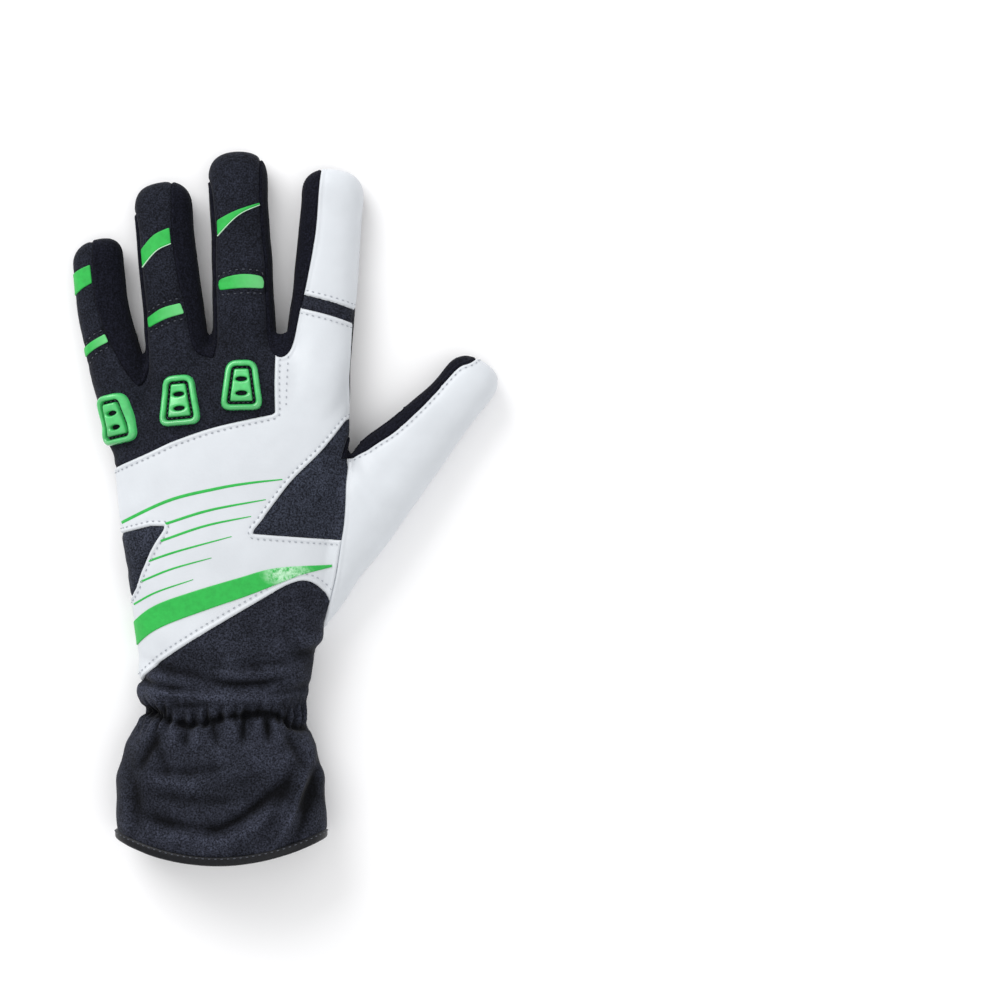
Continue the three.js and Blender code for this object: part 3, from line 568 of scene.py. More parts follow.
THUMB = np.vstack(
    [
        hand_curve(
            (0.485, 0.72), (0.477, 0.624), (0.469, 0.518), (0.457, 0.459), (0.436, 0.372), (0.41, 0.3),
            (0.388, 0.245), (0.35, 0.17),
        ),
        hand_points((0.3, -0.05), (FAR, 0), (FAR, FAR), (0.62, FAR), (0.535, 0.85)),
    ]
)
PALM = np.vstack(
    [
        hand_curve((-0.7, 0.16), (-0.31, 0.2), (-0.08, 0.212), (0.1, 0.19), (0.7, 0.1)),
        hand_points((FAR, FAR), (-FAR, FAR), (-FAR, 0.16)),
    ]
)
ULNAR_WRAP = hand_points((-FAR, 0.42), (-0.44, 0.38), (-0.37, 0.3), (-0.32, 0.2), (-0.31, 0.06), (-FAR, 0.03))

# Seams along a digit, as shares of its half width and length, from the palm to beyond the tip
PINKY_SEAM = [(0.36, 0.21), (0.2, 0.3), (0.03, 0.4), (-0.1, 0.54), (-0.2, 0.68), (-0.15, 0.98), (-0.15, 1.2)]
RING_INNER = [(-0.93, 0.18), (-0.9, 0.5), (-0.92, 0.8), (-1.1, 0.94), (-1.2, 1.2)]
RING_OUTER = [(0.54, 0.24), (0.47, 0.43), (0.34, 0.55), (0.29, 0.74), (0.41, 1), (0.41, 1.2)]
MIDDLE_INNER = [(-0.88, 0.22), (-0.87, 0.6), (-0.9, 0.82), (-1.1, 0.95), (-1.2, 1.2)]
MIDDLE_OUTER = [(0.8, 0.22), (0.8, 0.4), (0.82, 0.54), (0.77, 0.79), (0.84, 0.97), (0.84, 1.2)]
INDEX_SEAM_ROWS = [(-0.76, 0.21), (-0.67, 0.37), (-0.55, 0.53), (-0.43, 0.72), (-0.42, 0.9), (-0.4, 1.2)]
THUMB_SEAM = [(-0.93, 0.47), (-0.66, 0.56), (-0.6, 0.65), (-0.65, 0.8), (-0.62, 0.93), (-0.3, 1), (-0.3, 1.2)]
THUMB_TURN = [(0.72, 1.2), (0.72, 0.8), (0.68, 0.6), (0.6, 0.45), (0.45, 0.3), (0.25, 0.17)]


def strip(left, left_seam, web, right, right_seam):
    """The outline of the strip between two fingers, round its lowest point."""
    before = [on_digit(left, *left_seam[1]), on_digit(left, *left_seam[0])]
    after = [on_digit(right, *right_seam[0]), on_digit(right, *right_seam[1])]
    bottom = curve([*before, on_hand(*web), *after])
    left_side = along_digit(left, left_seam[1:])[::-1]
    return np.vstack([left_side, bottom[1:-1], along_digit(right, right_seam[1:])])


STRIPS = {
    "side_strip_pinky_ring": strip("pinky", PINKY_SEAM, (-0.36, 0.875), "ring", RING_INNER),
    "side_strip_ring_middle": strip("ring", RING_OUTER, (-0.092, 0.953), "middle", MIDDLE_INNER),
    "side_strip_middle_index": strip("middle", MIDDLE_OUTER, (0.205, 0.95), "index", INDEX_SEAM_ROWS),
    "side_strip_thumb": np.vstack(
        [
            hand_points((0.462, 0.68)),
            along_digit("thumb", THUMB_SEAM),
            hand_points((0.75, FAR), (0.54, 1.1), (0.51, 0.8)),
        ]
    ),
}
BAND_LOWER = [(-1.6, 0.405), (-0.5, 0.385), (0.4, 0.365), (1.6, 0.325)]
BAND_UPPER = [(-1.6, 0.465), (-0.5, 0.443), (0.4, 0.423), (1.6, 0.385)]
INDEX_BAND = np.vstack([along_digit("index", BAND_LOWER), along_digit("index", BAND_UPPER)[::-1]])
INDEX_TIP = np.vstack(
    [along_digit("index", BAND_UPPER), on_digit("index", 1.6, 1.3), on_digit("index", -1.35, 1.3)]
)
THUMB_WRAP = np.vstack(
    [
        along_digit("thumb", THUMB_TURN)[::-1],
        on_digit("thumb", 1.6, 1.3),
        hand_points((FAR, FAR), (FAR, 0.1), (0.34, 0.165), (0.114, 0.197)),
    ]
)
INDEX_SEAM_END = (224.0, 244.0)  # where that raised seam comes down, in millimetres along the glove
INDEX_SIDE = np.vstack(
    [
        on_digit("index", 0.55, 0.56),
        on_digit("index", 0.5, 0.1),
        hand_points((0.4, 0.74), (0.7, 0.72)),
        on_digit("index", 2.5, 0.56),
    ]
)


def under_seam(points):
    """How far points lie under the palm's seam: below its height, clear of the leather that turns under."""
    below = PALM_SEAM - points[:, 2]
    below = np.minimum(below, -inside_distance(points, THUMB_WRAP))
    below = np.minimum(below, -inside_distance(points, ULNAR_WRAP))
    seam = between(INDEX_SEAM, PALM_SEAM, fade(points[:, 1], *INDEX_SEAM_END))
    side = np.minimum(seam - points[:, 2], inside_distance(points, INDEX_SIDE))
    return np.maximum(below, side)


def heel(points):
    """How far points lie in the thumb's leather where it turns under the heel of the hand."""
    return np.minimum(PALM_SEAM - points[:, 2], inside_distance(points, THUMB_WRAP))


def within(outline):
    return lambda points: inside_distance(points, outline)


def past_mouth(points):
    """How far points lie past the curved end of the cuff's cloth, which the binding covers."""
    rows = body_rows()
    share = (points[:, 0] - rows["middle"][0]) / (rows["width"][0] / 2)
    return points[:, 1] - rows["bow"][0] * share**2 - MOUTH_START + MOUTH_TUCK


# Panels in the order that they are cut, each from the panel that held its place before
CUTS = [
    ("palm_panel", under_seam, "leather_panel"),
    ("thumb_panel", heel, "leather_panel"),
    *((name, within(outline), "leather_panel") for name, outline in STRIPS.items()),
    ("index_joint_band", within(INDEX_BAND), "leather_panel"),
    ("index_tip_panel", within(INDEX_TIP), "leather_panel"),
    ("thumb_panel", within(THUMB), "leather_panel"),
    ("web_panel", within(WEB), "leather_panel"),
    ("ulnar_inset", within(ULNAR), "leather_panel"),
    ("wrist_panel", within(WRIST), "leather_panel"),
    ("knuckle_panel", within(KNUCKLE), "leather_panel"),
    ("cuff_palm", lambda points: -inside_distance(points, PALM), "palm_panel"),
]
LABELS = ["leather_panel", *dict.fromkeys(panel for panel, _, _ in CUTS)]
WHITE = ("leather_panel", "index_tip_panel", "thumb_panel")


# The parts of a cut triangle, each with a corner on its side. Corners are 0 to 2, points cut in edges 3 to 5.
CUT_TWICE = (((0, 3, 5), 0), ((3, 1, 2), 1), ((3, 2, 5), 1))
CUT_ONCE = (((0, 1, 4), 1), ((0, 4, 2), 2))
# The parts of a triangle with one, two or three halved edges
HALVED = {
    1: ((0, 3, 2), (3, 1, 2)),
    2: ((0, 3, 2), (3, 1, 4), (3, 4, 2)),
    3: ((0, 3, 5), (3, 1, 4), (5, 4, 2), (3, 4, 5)),
}


def split(points, faces, field):
    """Cuts triangles where a field of the points is 0.

    Returns the points, the faces, the old face of each, and which faces lie inside.
    """
    side = np.sign(field)
    corners = side[faces]
    crossed = (corners.min(1) < 0) & (corners.max(1) > 0)
    kept = np.flatnonzero(~crossed)
    cut = np.flatnonzero(crossed)
    tri = faces[cut]
    pairs = np.sort(face_edges(tri), 1)
    crosses = side[pairs[:, 0]] * side[pairs[:, 1]] < 0
    edges, which = np.unique(pairs[crosses], axis=0, return_inverse=True)
    share = (field[edges[:, 0]] / (field[edges[:, 0]] - field[edges[:, 1]]))[:, None]
    made = points[edges[:, 0]] * (1 - share) + points[edges[:, 1]] * share
    middle = np.full(len(pairs), -1)
    middle[crosses] = len(points) + which.ravel()
    middle = middle.reshape(3, -1).T
    twice = (middle >= 0).sum(1) == 2
    turn = np.where(twice, (np.argmin(middle >= 0, axis=1) + 2) % 3, np.argmax(side[tri] == 0, axis=1))
    order = (turn[:, None] + np.arange(3)) % 3
    row = np.arange(len(tri))[:, None]
    both = np.hstack([tri[row, order], middle[row, order]])
    pieces, source, inside = [faces[kept]], [kept], [corners[kept].sum(1) > 0]
    for rows, parts in ((twice, CUT_TWICE), (~twice, CUT_ONCE)):
        for part, corner in parts:
            pieces.append(both[rows][:, part])
            source.append(cut[rows])
            inside.append(side[both[rows, corner]] > 0)
    return np.vstack([points, made]), *(np.concatenate(found) for found in (pieces, source, inside))


def refined(points, faces, near):
    """Halves each edge between two points that are near a seam. Returns points, faces and their old faces."""
    edges = np.sort(face_edges(faces), 1)
    marked = near[edges].all(1)
    halved, which = np.unique(edges[marked], axis=0, return_inverse=True)
    middle = np.full(len(edges), -1)
    middle[marked] = len(points) + which.ravel()
    middle = middle.reshape(3, -1).T
    made = (points[halved[:, 0]] + points[halved[:, 1]]) / 2
    count = (middle >= 0).sum(1)
    pieces, source = [faces[count == 0]], [np.flatnonzero(count == 0)]
    for number, parts in HALVED.items():
        rows = np.flatnonzero(count == number)
        found = middle[rows] >= 0
        turn = np.argmax(found, axis=1) if number < 2 else (np.argmin(found, axis=1) + 1) % 3
        order = (turn[:, None] + np.arange(3)) % 3
        row = np.arange(len(rows))[:, None]
        both = np.hstack([faces[rows][row, order], middle[rows][row, order]])
        for part in parts:
            pieces.append(both[:, part])
            source.append(rows)
    return np.vstack([points, made]), np.concatenate(pieces), np.concatenate(source)


def slid_onto(points, field, movable, reach):
    """Points close to a seam slid along the cloth onto it, so that the cut leaves no slivers."""
    value = field(points[:, :3])
    close = np.flatnonzero((np.abs(value) < reach) & movable)
    here = points[close, :3]
    step = 0.05
    slope = np.stack([(field(here + step * axis) - value[close]) / step for axis in np.eye(3)], 1)
    normal = points[close, 3:6]
    slope = slope - (slope * normal).sum(1, keepdims=True) * normal
    steep = (slope**2).sum(1)
    good = (steep > 0.25) & (np.abs(value[close]) < reach * np.sqrt(steep))
    points = points.copy()
    points[close[good], :3] -= (value[close[good]] / steep[good])[:, None] * slope[good]
    value = value.copy()
    value[close[good]] = 0
    return points, value


def face_islands(faces, labels):
    """Numbers the connected areas of faces with one label."""
    parent = np.arange(len(faces))

    def root(i):
        while parent[i] != i:
            parent[i] = parent[parent[i]]
            i = parent[i]
        return i

    edges = np.sort(face_edges(faces), 1)
    owner = np.tile(np.arange(len(faces)), 3)
    order = np.lexsort((edges[:, 1], edges[:, 0]))
    edges, owner = edges[order], owner[order]
    same = (edges[1:] == edges[:-1]).all(1) & (labels[owner[1:]] == labels[owner[:-1]])
    for a, b in zip(owner[:-1][same].tolist(), owner[1:][same].tolist()):
        a, b = root(a), root(b)
        if a != b:
            parent[b] = a
    return np.array([root(i) for i in range(len(faces))])


def nearest_distance(points, targets):
    """The distance from each point to the nearest target."""
    tree = KDTree(len(targets))
    for i, target in enumerate(targets.tolist()):
        tree.insert(target, i)
    tree.balance()
    return np.array([tree.find(point)[2] for point in points.tolist()])


def lumps(points, size, seed):
    """Soft random swelling and sinking between -1 and 1, about size across, the same on each run."""
    random = np.random.default_rng(seed)
    total = np.zeros(len(points))
    for _ in range(9):
        direction = unit(random.normal(size=3))
        turns = 2 * np.pi / (size * random.uniform(0.8, 1.9))
        total += np.sin(points @ direction * turns + random.uniform(0, 6.3))
    return total / 4.5


# Folds and creases of the back. x and y are shares of the hand, angle is the crease's direction from +X in
# degrees, long and wide its half sizes in millimetres, and depth is how far it sinks, or rises below 0.
CREASES = table(
    "x y angle long wide depth",
    (-0.27, 0.08, -11, 10, 1.5, 2.2),
    (-0.2, 0.118, -14, 15, 2.0, 1.2),
    (-0.24, 0.1, -8, 14, 2.4, -1.2),
    (0.07, 0.088, 1, 15, 1.5, 1.9),
    (0.1, 0.11, 3, 17, 2.2, -1.0),
    (0.16, 0.14, 8, 14, 2.2, 0.8),
    (-0.09, 0.05, -4, 22, 2.4, -1.5),
    (-0.14, 0.03, 4, 8, 1.3, 1.2),
    (0.15, 0.048, 5, 14, 2.4, -1.3),
    (0.25, 0.066, 12, 9, 1.6, 1.3),
    (-0.35, 0.062, 0, 12, 4.2, -1.9),
    (-0.34, 0.012, 0, 12, 2.2, 2.0),
    (0.35, 0.2, 10, 6, 4.0, -1.4),
    (0.335, 0.17, 10, 6, 2.5, 1.2),
    (-0.215, -0.038, 96, 5, 1.9, -1.5),
    (-0.12, -0.045, 82, 5, 2.1, -1.5),
    (0.02, -0.03, 94, 5.5, 2.2, -1.5),
    (0.12, -0.028, 78, 5, 1.9, -1.3),
    (0.21, -0.04, 100, 5, 2.0, -1.4),
    (-0.168, -0.04, 88, 5.5, 1.3, 1.5),
    (-0.05, -0.035, 100, 6, 1.4, 1.6),
    (0.07, -0.028, 84, 6, 1.3, 1.6),
    (0.165, -0.032, 92, 5, 1.3, 1.4),
    (-0.31, -0.08, 64, 10, 2.0, 1.6),
    (-0.26, -0.1, 112, 9, 1.9, 1.0),
    (0.28, -0.09, 118, 9, 1.8, 1.3),
    (-0.02, -0.105, 98, 9, 3.0, -0.9),
    (-0.14, -0.14, 4, 18, 2.2, 1.2),
    (-0.1, -0.175, -2, 22, 2.6, -1.0),
    (-0.13, -0.215, -5, 20, 2.3, 1.2),
    (0.05, -0.17, 12, 13, 2.2, 0.9),
    (-0.18, -0.28, -9, 15, 2.2, 1.5),
    (-0.15, -0.315, -6, 16, 2.2, -0.8),
    (0.07, -0.255, 32, 19, 2.2, 2.0),
    (0.1, -0.29, 32, 19, 2.6, -1.4),
    (0.275, -0.24, 68, 17, 1.2, -1.5),
    (0.225, -0.21, 66, 16, 2.6, 1.4),
    (0.325, -0.25, 70, 15, 2.3, 1.6),
    (0.36, -0.14, 76, 16, 1.8, 1.3),
    (-0.37, -0.2, 98, 14, 2.8, 1.1),
    (-0.4, -0.26, 96, 10, 3.0, -0.8),
    (0.6, 0.664, -55, 10, 3.0, 0.55),
    (0.55, 0.6, -60, 13, 3.4, 0.7),
    (0.52, 0.56, -58, 12, 3.0, -0.45),
    (0.62, 0.5, 52, 12, 4.0, 0.4),
    (-0.38, 0.53, 30, 9, 2.2, 0.4),
    (-0.36, 0.4, 24, 10, 2.4, 0.4),
    (0.28, 0.9, 80, 14, 3.5, 0.35),
)
ELASTIC = {"reach": 5.5, "pucker": 6.5, "slant": 24.0, "depth": 0.8}  # zigzag puckers along the waist
ELASTIC_LINE = {"depth": 2.3, "wide": 1.5}  # the line where the elastic is sewn in
SEWN_ELASTIC = hand_curve(
    (-0.45, 0.01), (-0.34, 0.012), (-0.281, 0.0), (-0.147, -0.02), (0.004, 0.0), (0.183, 0.005),
    (0.285, -0.03), (0.4, -0.02),
)
PALM_FOLDS = {name: (0.65, 0.805) if name == "thumb" else (0.45, 0.68) for name in DIGITS}


def creases(points):
    """How far the cloth of the back sinks at its creases, in millimetres."""
    total = np.zeros(len(points))
    columns = zip(*(CREASES[name] for name in ("x", "y", "angle", "long", "wide", "depth")))
    for x, y, angle, long, wide, depth in columns:
        gap = points[:, :2] - on_hand(x, y)
        turn = math.radians(angle)
        along = gap @ np.array([math.cos(turn), math.sin(turn)])
        across = gap @ np.array([-math.sin(turn), math.cos(turn)]) - 0.006 * along**2
        total += depth * np.exp(-((across / wide) ** 2) - (along / long) ** 4)
    return total


def elastic_puckers(points):
    """Zigzag puckers where the elastic draws the back of the waist together."""
    top = CLOTH_BASE + WAIST["height"]
    side = points[:, 0] - CUFF_ROWS["middle"][-1] * HAND["width"]
    around = 2 * np.pi / ELASTIC["pucker"] * (side + np.sign(side) * (top - points[:, 2]))
    above = points[:, 1] - CUFF["length"]
    slant = 2 * np.pi / ELASTIC["slant"] * above
    wave = np.cos(around + slant) + np.cos(1.13 * around - slant + 1) + 0.6 * np.cos(1.9 * around)
    uneven = 0.75 + 0.5 * lumps(points, 17, 6)
    puckers = ELASTIC["depth"] * uneven * wave * np.exp(-((above / ELASTIC["reach"]) ** 2))
    away = line_distance(points, SEWN_ELASTIC)
    return puckers + ELASTIC_LINE["depth"] * np.exp(-((away / ELASTIC_LINE["wide"]) ** 2))


# Tight gathers at the elastic, level the middle of their height, and broad ones from start to end below it
GATHERS = {"depth": 2.4, "reach": 19.0, "narrowing": 0.75, "level": 0.4, "sway": (0.012, 0.35, 9)}
BROAD_GATHERS = {"depth": 1.1, "folds": 4.5, "phase": 0.8, "start": (10, 26), "end": (40, 56)}


def gathers(points):
    """Upright gathers on the palm side of the cuff: tight at the elastic, broad towards the hem."""
    rows = body_rows()
    y = points[:, 1]
    flat = eased(y, rows["y"], rows["width"]) * HAND_FORM["flat"]
    above = y - CUFF["length"]
    share = 0.5 + (points[:, 0] - eased(y, rows["y"], rows["middle"])) / flat
    sway, upwards, sideways = GATHERS["sway"]
    share = share + sway * np.sin(upwards * above + sideways * share)
    tight = np.zeros(len(points))
    for place, width, depth in zip(PLEATS["place"], PLEATS["width"], PLEATS["depth"]):
        tight += depth * np.exp(-(((share - place) / (GATHERS["narrowing"] * width)) ** 2))
    tight = (tight - GATHERS["level"]) * np.exp(-((above / GATHERS["reach"]) ** 4))
    broad = np.cos(2 * np.pi * BROAD_GATHERS["folds"] * share + BROAD_GATHERS["phase"])
    broad = broad * fade(-above, *BROAD_GATHERS["start"]) * (1 - fade(-above, *BROAD_GATHERS["end"]))
    return GATHERS["depth"] * tight + BROAD_GATHERS["depth"] * broad


def joint_folds(points):
    """The palm side of each digit folds a little at its joints."""
    total = np.zeros(len(points))
    for name, shares in PALM_FOLDS.items():
        for share in shares:
            middle, across, width = digit_frame(name, share)
            gap = points[:, :2] - middle[0]
            side = gap @ across
            along = gap @ np.array([-across[1], across[0]])
            total += 0.55 * np.exp(-((along / 1.7) ** 2) - (side / (0.5 * width[0])) ** 4)
    return total


def line_distance(points, line):
    """The distance in plan from each point to an open line."""
    nearest = np.full(len(points), np.inf)
    for a, b in zip(line, line[1:]):
        share = np.clip((points[:, :2] - a) @ (b - a) / ((b - a) @ (b - a)), 0, 1)
        gap = points[:, :2] - a - share[:, None] * (b - a)
        nearest = np.minimum(nearest, np.linalg.norm(gap, axis=1))
    return nearest


def joint_sewing(finger):
    """The two rows of stitches beside the green insert over a finger's middle joint, in plan."""
    upper, lower = STRIPES[finger + "_joint"]
    shift = SEWING_GAP / DIGITS[finger]["length"]
    rows = [(upper, shift), (lower[::-1], -shift)]
    return [along_digit(finger, [(max(a, -0.9), b + move) for a, b in row], 6) for row, move in rows]


def sunk(points, normals):
    """How far the cloth lies below the smooth form at each point, in millimetres."""
    up = fade(normals[:, 2], -0.5, 0.1)
    down = fade(-normals[:, 2], 0.2, 0.8)
    above = points[:, 1] - CUFF["length"]
    cuff = 1 - fade(above, 15, 50)
    loose = (0.22 + 0.4 * cuff) * lumps(points, 24, 3) + (0.1 + 0.2 * cuff) * lumps(points, 10, 4)
    sewn_in = sum(
        0.35 * np.exp(-((line_distance(points, line) / 1.2) ** 2))
        for finger in ("pinky", "ring", "middle")
        for line in joint_sewing(finger)
    )
    palm_cuff = cuff * 0.5 * lumps(points * np.array([1, 0.35, 1]), 9, 5)
    return up * (creases(points) + elastic_puckers(points) + loose + sewn_in) + down * (
        joint_folds(points) + gathers(points) + 0.3 * loose + palm_cuff
    )


# Rounds of smoothing over the whole skin, and more of them where the fingers part and over the knuckles
SMOOTHING = {"rounds": 8, "more": 14, "gaps": 12, "knuckles": 18, "knuckle_share": 0.7}
GAPS = ((-0.36, 0.875), (-0.092, 0.953), (0.205, 0.95), (0.47, 0.56))
FINE_REACH = 2.6  # how far from a seam the skin has finer faces
SLIDE = 0.3  # how far points slide onto a seam, as a share of the cloth step
STRAY = 0.75  # below this the directions at needle-thin faces give way to the smooth ones
LOWEST = CLOTH_BASE + 0.02  # the smooth skin stays over the height of the cloth's underside
EDGE_LOWEST = CLOTH_BASE - 0.2  # so do its turned edges


def smooth_skin(step):
    """The glove's smooth outer form: the hand, cuff and digits run into one skin."""
    lofts = [loft(digit_rings(name)) for name in DIGITS]
    y = np.linspace(0, CUFF["length"] + HAND["length"], 150)
    lofts.append(loft(body_rings(np.append(-MOUTH_SPARE, y))))
    points, faces = fused(lofts, step)
    edges = unique_edges(faces)
    points = relaxed(points, edges, SMOOTHING["rounds"])
    spread = SMOOTHING["gaps"] ** 2
    near = sum(np.exp(-(((points[:, :2] - on_hand(*gap)) ** 2).sum(1) / spread) ** 2) for gap in GAPS)
    away = (points[:, 1] - on_hand(0, 0.88)[1]) / SMOOTHING["knuckles"]
    knuckles = np.exp(-(away**2)) * (points[:, 2] > PALM_SEAM)
    weight = np.clip(np.maximum(near, SMOOTHING["knuckle_share"] * knuckles), 0, 1)
    return softened(points, edges, SMOOTHING["more"], weight), faces


class Skin:
    """The glove's outer surface, cut along its seams, with a panel's number on each face.

    data holds a row for each point: its place and its outward direction.
    """

    def __init__(self, step):
        points, faces = smooth_skin(step)
        data = np.hstack([points, vertex_normals(points, faces)])
        self.data, faces, _, inside = split(data, faces, past_mouth(data))
        self.faces = faces[inside]
        self.labels = np.zeros(len(self.faces), int)
        for panel, field, source in CUTS:
            self.cut(panel, field, source, step)
        self.join_scraps()
        self.refine(FINE_REACH)
        normals = unit(self.data[:, 3:])
        points = self.data[:, :3]
        self.hollow = sunk(points, normals)
        points = points - normals * self.hollow[:, None]
        points[:, 2] = np.maximum(points[:, 2], LOWEST)
        self.points = points
        found = vertex_normals(points, self.faces)
        astray = (found * normals).sum(1) < STRAY
        self.normals = np.where(astray[:, None], normals, found)

    def cut(self, panel, field, source, step):
        """Gives a panel what lies inside a field of the panel that held its place before."""
        chosen = self.labels == LABELS.index(source)
        movable = np.zeros(len(self.data), bool)
        movable[self.faces[chosen]] = True
        movable[self.faces[~chosen]] = False
        data, value = slid_onto(self.data, field, movable, SLIDE * step)
        used, index = own_points(self.faces[chosen])
        made, faces, _, inside = split(data[used], index, value[used])
        lookup = np.concatenate([used, len(data) + np.arange(len(made) - len(used))])
        self.data = np.vstack([data, made[len(used) :]])
        self.faces = np.vstack([self.faces[~chosen], lookup[faces]])
        numbers = np.where(inside, LABELS.index(panel), LABELS.index(source))
        self.labels = np.concatenate([self.labels[~chosen], numbers])

    def join_scraps(self):
        """Gives loose scraps beside a panel to the panel round them."""
        which = np.unique(face_islands(self.faces, self.labels), return_inverse=True)[1].ravel()
        area = np.linalg.norm(face_normals(self.data[:, :3], self.faces), axis=1)
        total = np.bincount(which, area)
        owner = np.zeros(len(total), int)
        owner[which] = self.labels
        for island in np.argsort(total):
            if total[island] == total[owner == owner[island]].max():
                continue
            members = which == island
            touched = np.zeros(len(self.data), bool)
            touched[self.faces[members]] = True
            around = self.labels[touched[self.faces].any(1) & ~members]
            around = around[around != owner[island]]
            if len(around):
                self.labels[members] = np.bincount(around).argmax()

    def refine(self, reach):
        """Gives the skin finer faces beside its seams."""
        places = self.data[:, :3]
        distance = nearest_distance(places, places[self.seam_points()])
        self.data, self.faces, source = refined(self.data, self.faces, distance < reach)
        self.labels = self.labels[source]

    def seam_points(self):
        """Points where two panels meet."""
        low = np.full(len(self.data), len(LABELS))
        high = np.full(len(self.data), -1)
        for k in range(3):
            np.minimum.at(low, self.faces[:, k], self.labels)
            np.maximum.at(high, self.faces[:, k], self.labels)
        return np.flatnonzero((low != high) & (high >= 0))

    def panel(self, *names):
        """The numbers of a panel's points in the skin, and its faces by its own points."""
        chosen = np.isin(self.labels, [LABELS.index(name) for name in names])
        return own_points(self.faces[chosen])

    def seam(self, panel, others):
        """Places where a panel meets other panels."""
        touched = np.zeros((2, len(self.points)), bool)
        touched[0, self.panel(panel)[0]] = True
        touched[1, self.panel(*others)[0]] = True
        return self.points[touched.all(0)]


@lru_cache(maxsize=1)
def skin():
    return Skin(bpy.context.scene.glove_sizes.cloth_step / MM)


@lru_cache(maxsize=1)
def skin_tree():
    made = skin()
    return BVHTree.FromPolygons(made.points.tolist(), made.faces.tolist())


def border_edges(faces):
    """The edges that only one face has, in that face's direction."""
    edges = face_edges(faces)
    _, index, count = np.unique(np.sort(edges, 1), axis=0, return_index=True, return_counts=True)
    return edges[index[count == 1]]


def closed(top, bottom, faces):
    """A closed solid between two sheets of the same faces."""
    edges = border_edges(faces)
    a, b = edges[:, 0], edges[:, 1]
    shift = len(top)
    walls = np.concatenate([np.stack([a, a + shift, b + shift], 1), np.stack([a, b + shift, b], 1)])
    return np.vstack([top, bottom]), np.vstack([faces, faces[:, ::-1] + shift, walls])


def piece(name, points, faces, material, slot=None, nodes=(), hollow=None):
    """A piece of the glove from points in millimetres, riding on the glove's one body."""
    used, faces = own_points(faces)
    mesh = triangle_mesh(name, in_row_frame(points[used]), faces)
    mesh.polygons.foreach_set("use_smooth", np.ones(len(mesh.polygons), bool))
    mesh.set_sharp_from_angle(angle=math.radians(50))
    mesh.materials.append(material)
    if hollow is not None:
        # How deep each point lies in a fold. The softshell's material reads it to paint shade into the folds
        # and highlights onto their ridges.
        depths = mesh.attributes.new("hollow", "FLOAT", "POINT")
        depths.data.foreach_set("value", hollow[used].astype(np.float32))
    obj = bpy.data.objects.new(name, mesh)
    bpy.context.scene.collection.objects.link(obj)
    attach(obj, "root")
    if nodes:
        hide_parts(*nodes)
    return obj


# The turned edges of a panel: a groove into the seam, a roll beside it and a dip under the stitches. Each has
# its reach and its height.
EDGES = {
    "leather": {"groove": (0.5, -0.45), "roll": (0.75, 0.3, 0.9), "dip": (0.55, -0.14, SEWING_GAP)},
    "cloth": {"groove": (1.2, -0.6), "roll": (1.0, 0.0, 2.0), "dip": (1.0, 0.0, SEWING_GAP)},
    "strip": {"groove": (0.5, -0.4), "roll": (0.7, 0.28, 0.95), "dip": (1.0, -0.12, 2.4)},
}


def panel_shape(name, sizes):
    """One panel as a closed solid with its seams turned in, and how deep each point lies in a fold."""
    made = skin()
    used, faces = made.panel(name)
    points, normals = made.points[used], made.normals[used]
    border = np.unique(border_edges(faces))
    distance = nearest_distance(points, points[border])
    edge = EDGES["leather" if name in WHITE else "strip" if name in STRIPS else "cloth"]
    wide, groove = edge["groove"]
    height = groove * np.exp(-((distance / wide) ** 2))
    for wide, rise, middle in (edge["roll"], edge["dip"]):
        height += rise * np.exp(-(((distance - middle) / wide) ** 2))
    outer = points + normals * height[:, None]
    inwards = unit(neighbour_means(points, unique_edges(faces)) - points)
    outer[border] += 0.5 * sizes.seam_gap / MM * inwards[border]
    outer[:, 2] = np.maximum(outer[:, 2], EDGE_LOWEST)
    inner = outer - normals * (sizes.wall / MM)
    return *closed(outer, inner, faces), np.tile(made.hollow[used], 2)


# Materials


def add(tree, kind, values=(), links=(), **settings):
    """A shader node with its settings, socket values and links."""
    node = tree.nodes.new(kind)
    for name, value in settings.items():
        setattr(node, name, value)
    for socket, value in dict(values).items():
        node.inputs[socket].default_value = value
    for socket, source in dict(links).items():
        tree.links.new(source, node.inputs[socket])
    return node


def blank(name, values):
    """A new material, its node tree, its shader and where the pattern starts from."""
    material = bpy.data.materials.new(name)
    material.use_nodes = True
    tree = material.node_tree
    tree.nodes.clear()
    shader = add(tree, "ShaderNodeBsdfPrincipled", values)
    add(tree, "ShaderNodeOutputMaterial", links={"Surface": shader.outputs["BSDF"]})
    place = add(tree, "ShaderNodeTexCoord").outputs["Object"]
    return material, tree, shader, place


def per_metre(size_mm):
    """A pattern's scale from its real size."""
    return 1 / (size_mm * MM)


def rgba(colour):
    return (*colour, 1.0)


def toned(colour, factor):
    return rgba([min(1.0, c * factor) for c in colour])


COLOURS = {"data_type": "RGBA"}
MULTIPLIED = {**COLOURS, "blend_type": "MULTIPLY"}


def mottled(tree, place, size_mm, low, high, stops, detail=3.0):
    """A colour that runs between two tones in spots of a real size."""
    values = {"Scale": per_metre(size_mm), "Detail": detail, "Roughness": 0.65}
    noise = add(tree, "ShaderNodeTexNoise", values, {"Vector": place})
    ramp = add(tree, "ShaderNodeValToRGB", links={"Fac": noise.outputs["Fac"]})
    ramp.color_ramp.elements[0].position, ramp.color_ramp.elements[1].position = stops
    ramp.color_ramp.elements[0].color, ramp.color_ramp.elements[1].color = low, high
    return noise, ramp


def patterned(name, values, spots, relief):
    """A material whose colour and fine relief, its depth and strength, come from one pattern of spots."""
    material, tree, shader, place = blank(name, values)
    noise, ramp = mottled(tree, place, *spots)
    relief = {"Distance": relief[0] * MM, "Strength": relief[1]}
    bump = add(tree, "ShaderNodeBump", relief, {"Height": noise.outputs["Fac"]})
    tree.links.new(ramp.outputs["Color"], shader.inputs["Base Color"])
    tree.links.new(bump.outputs["Normal"], shader.inputs["Normal"])
    return material, tree, shader, place, ramp.outputs["Color"]


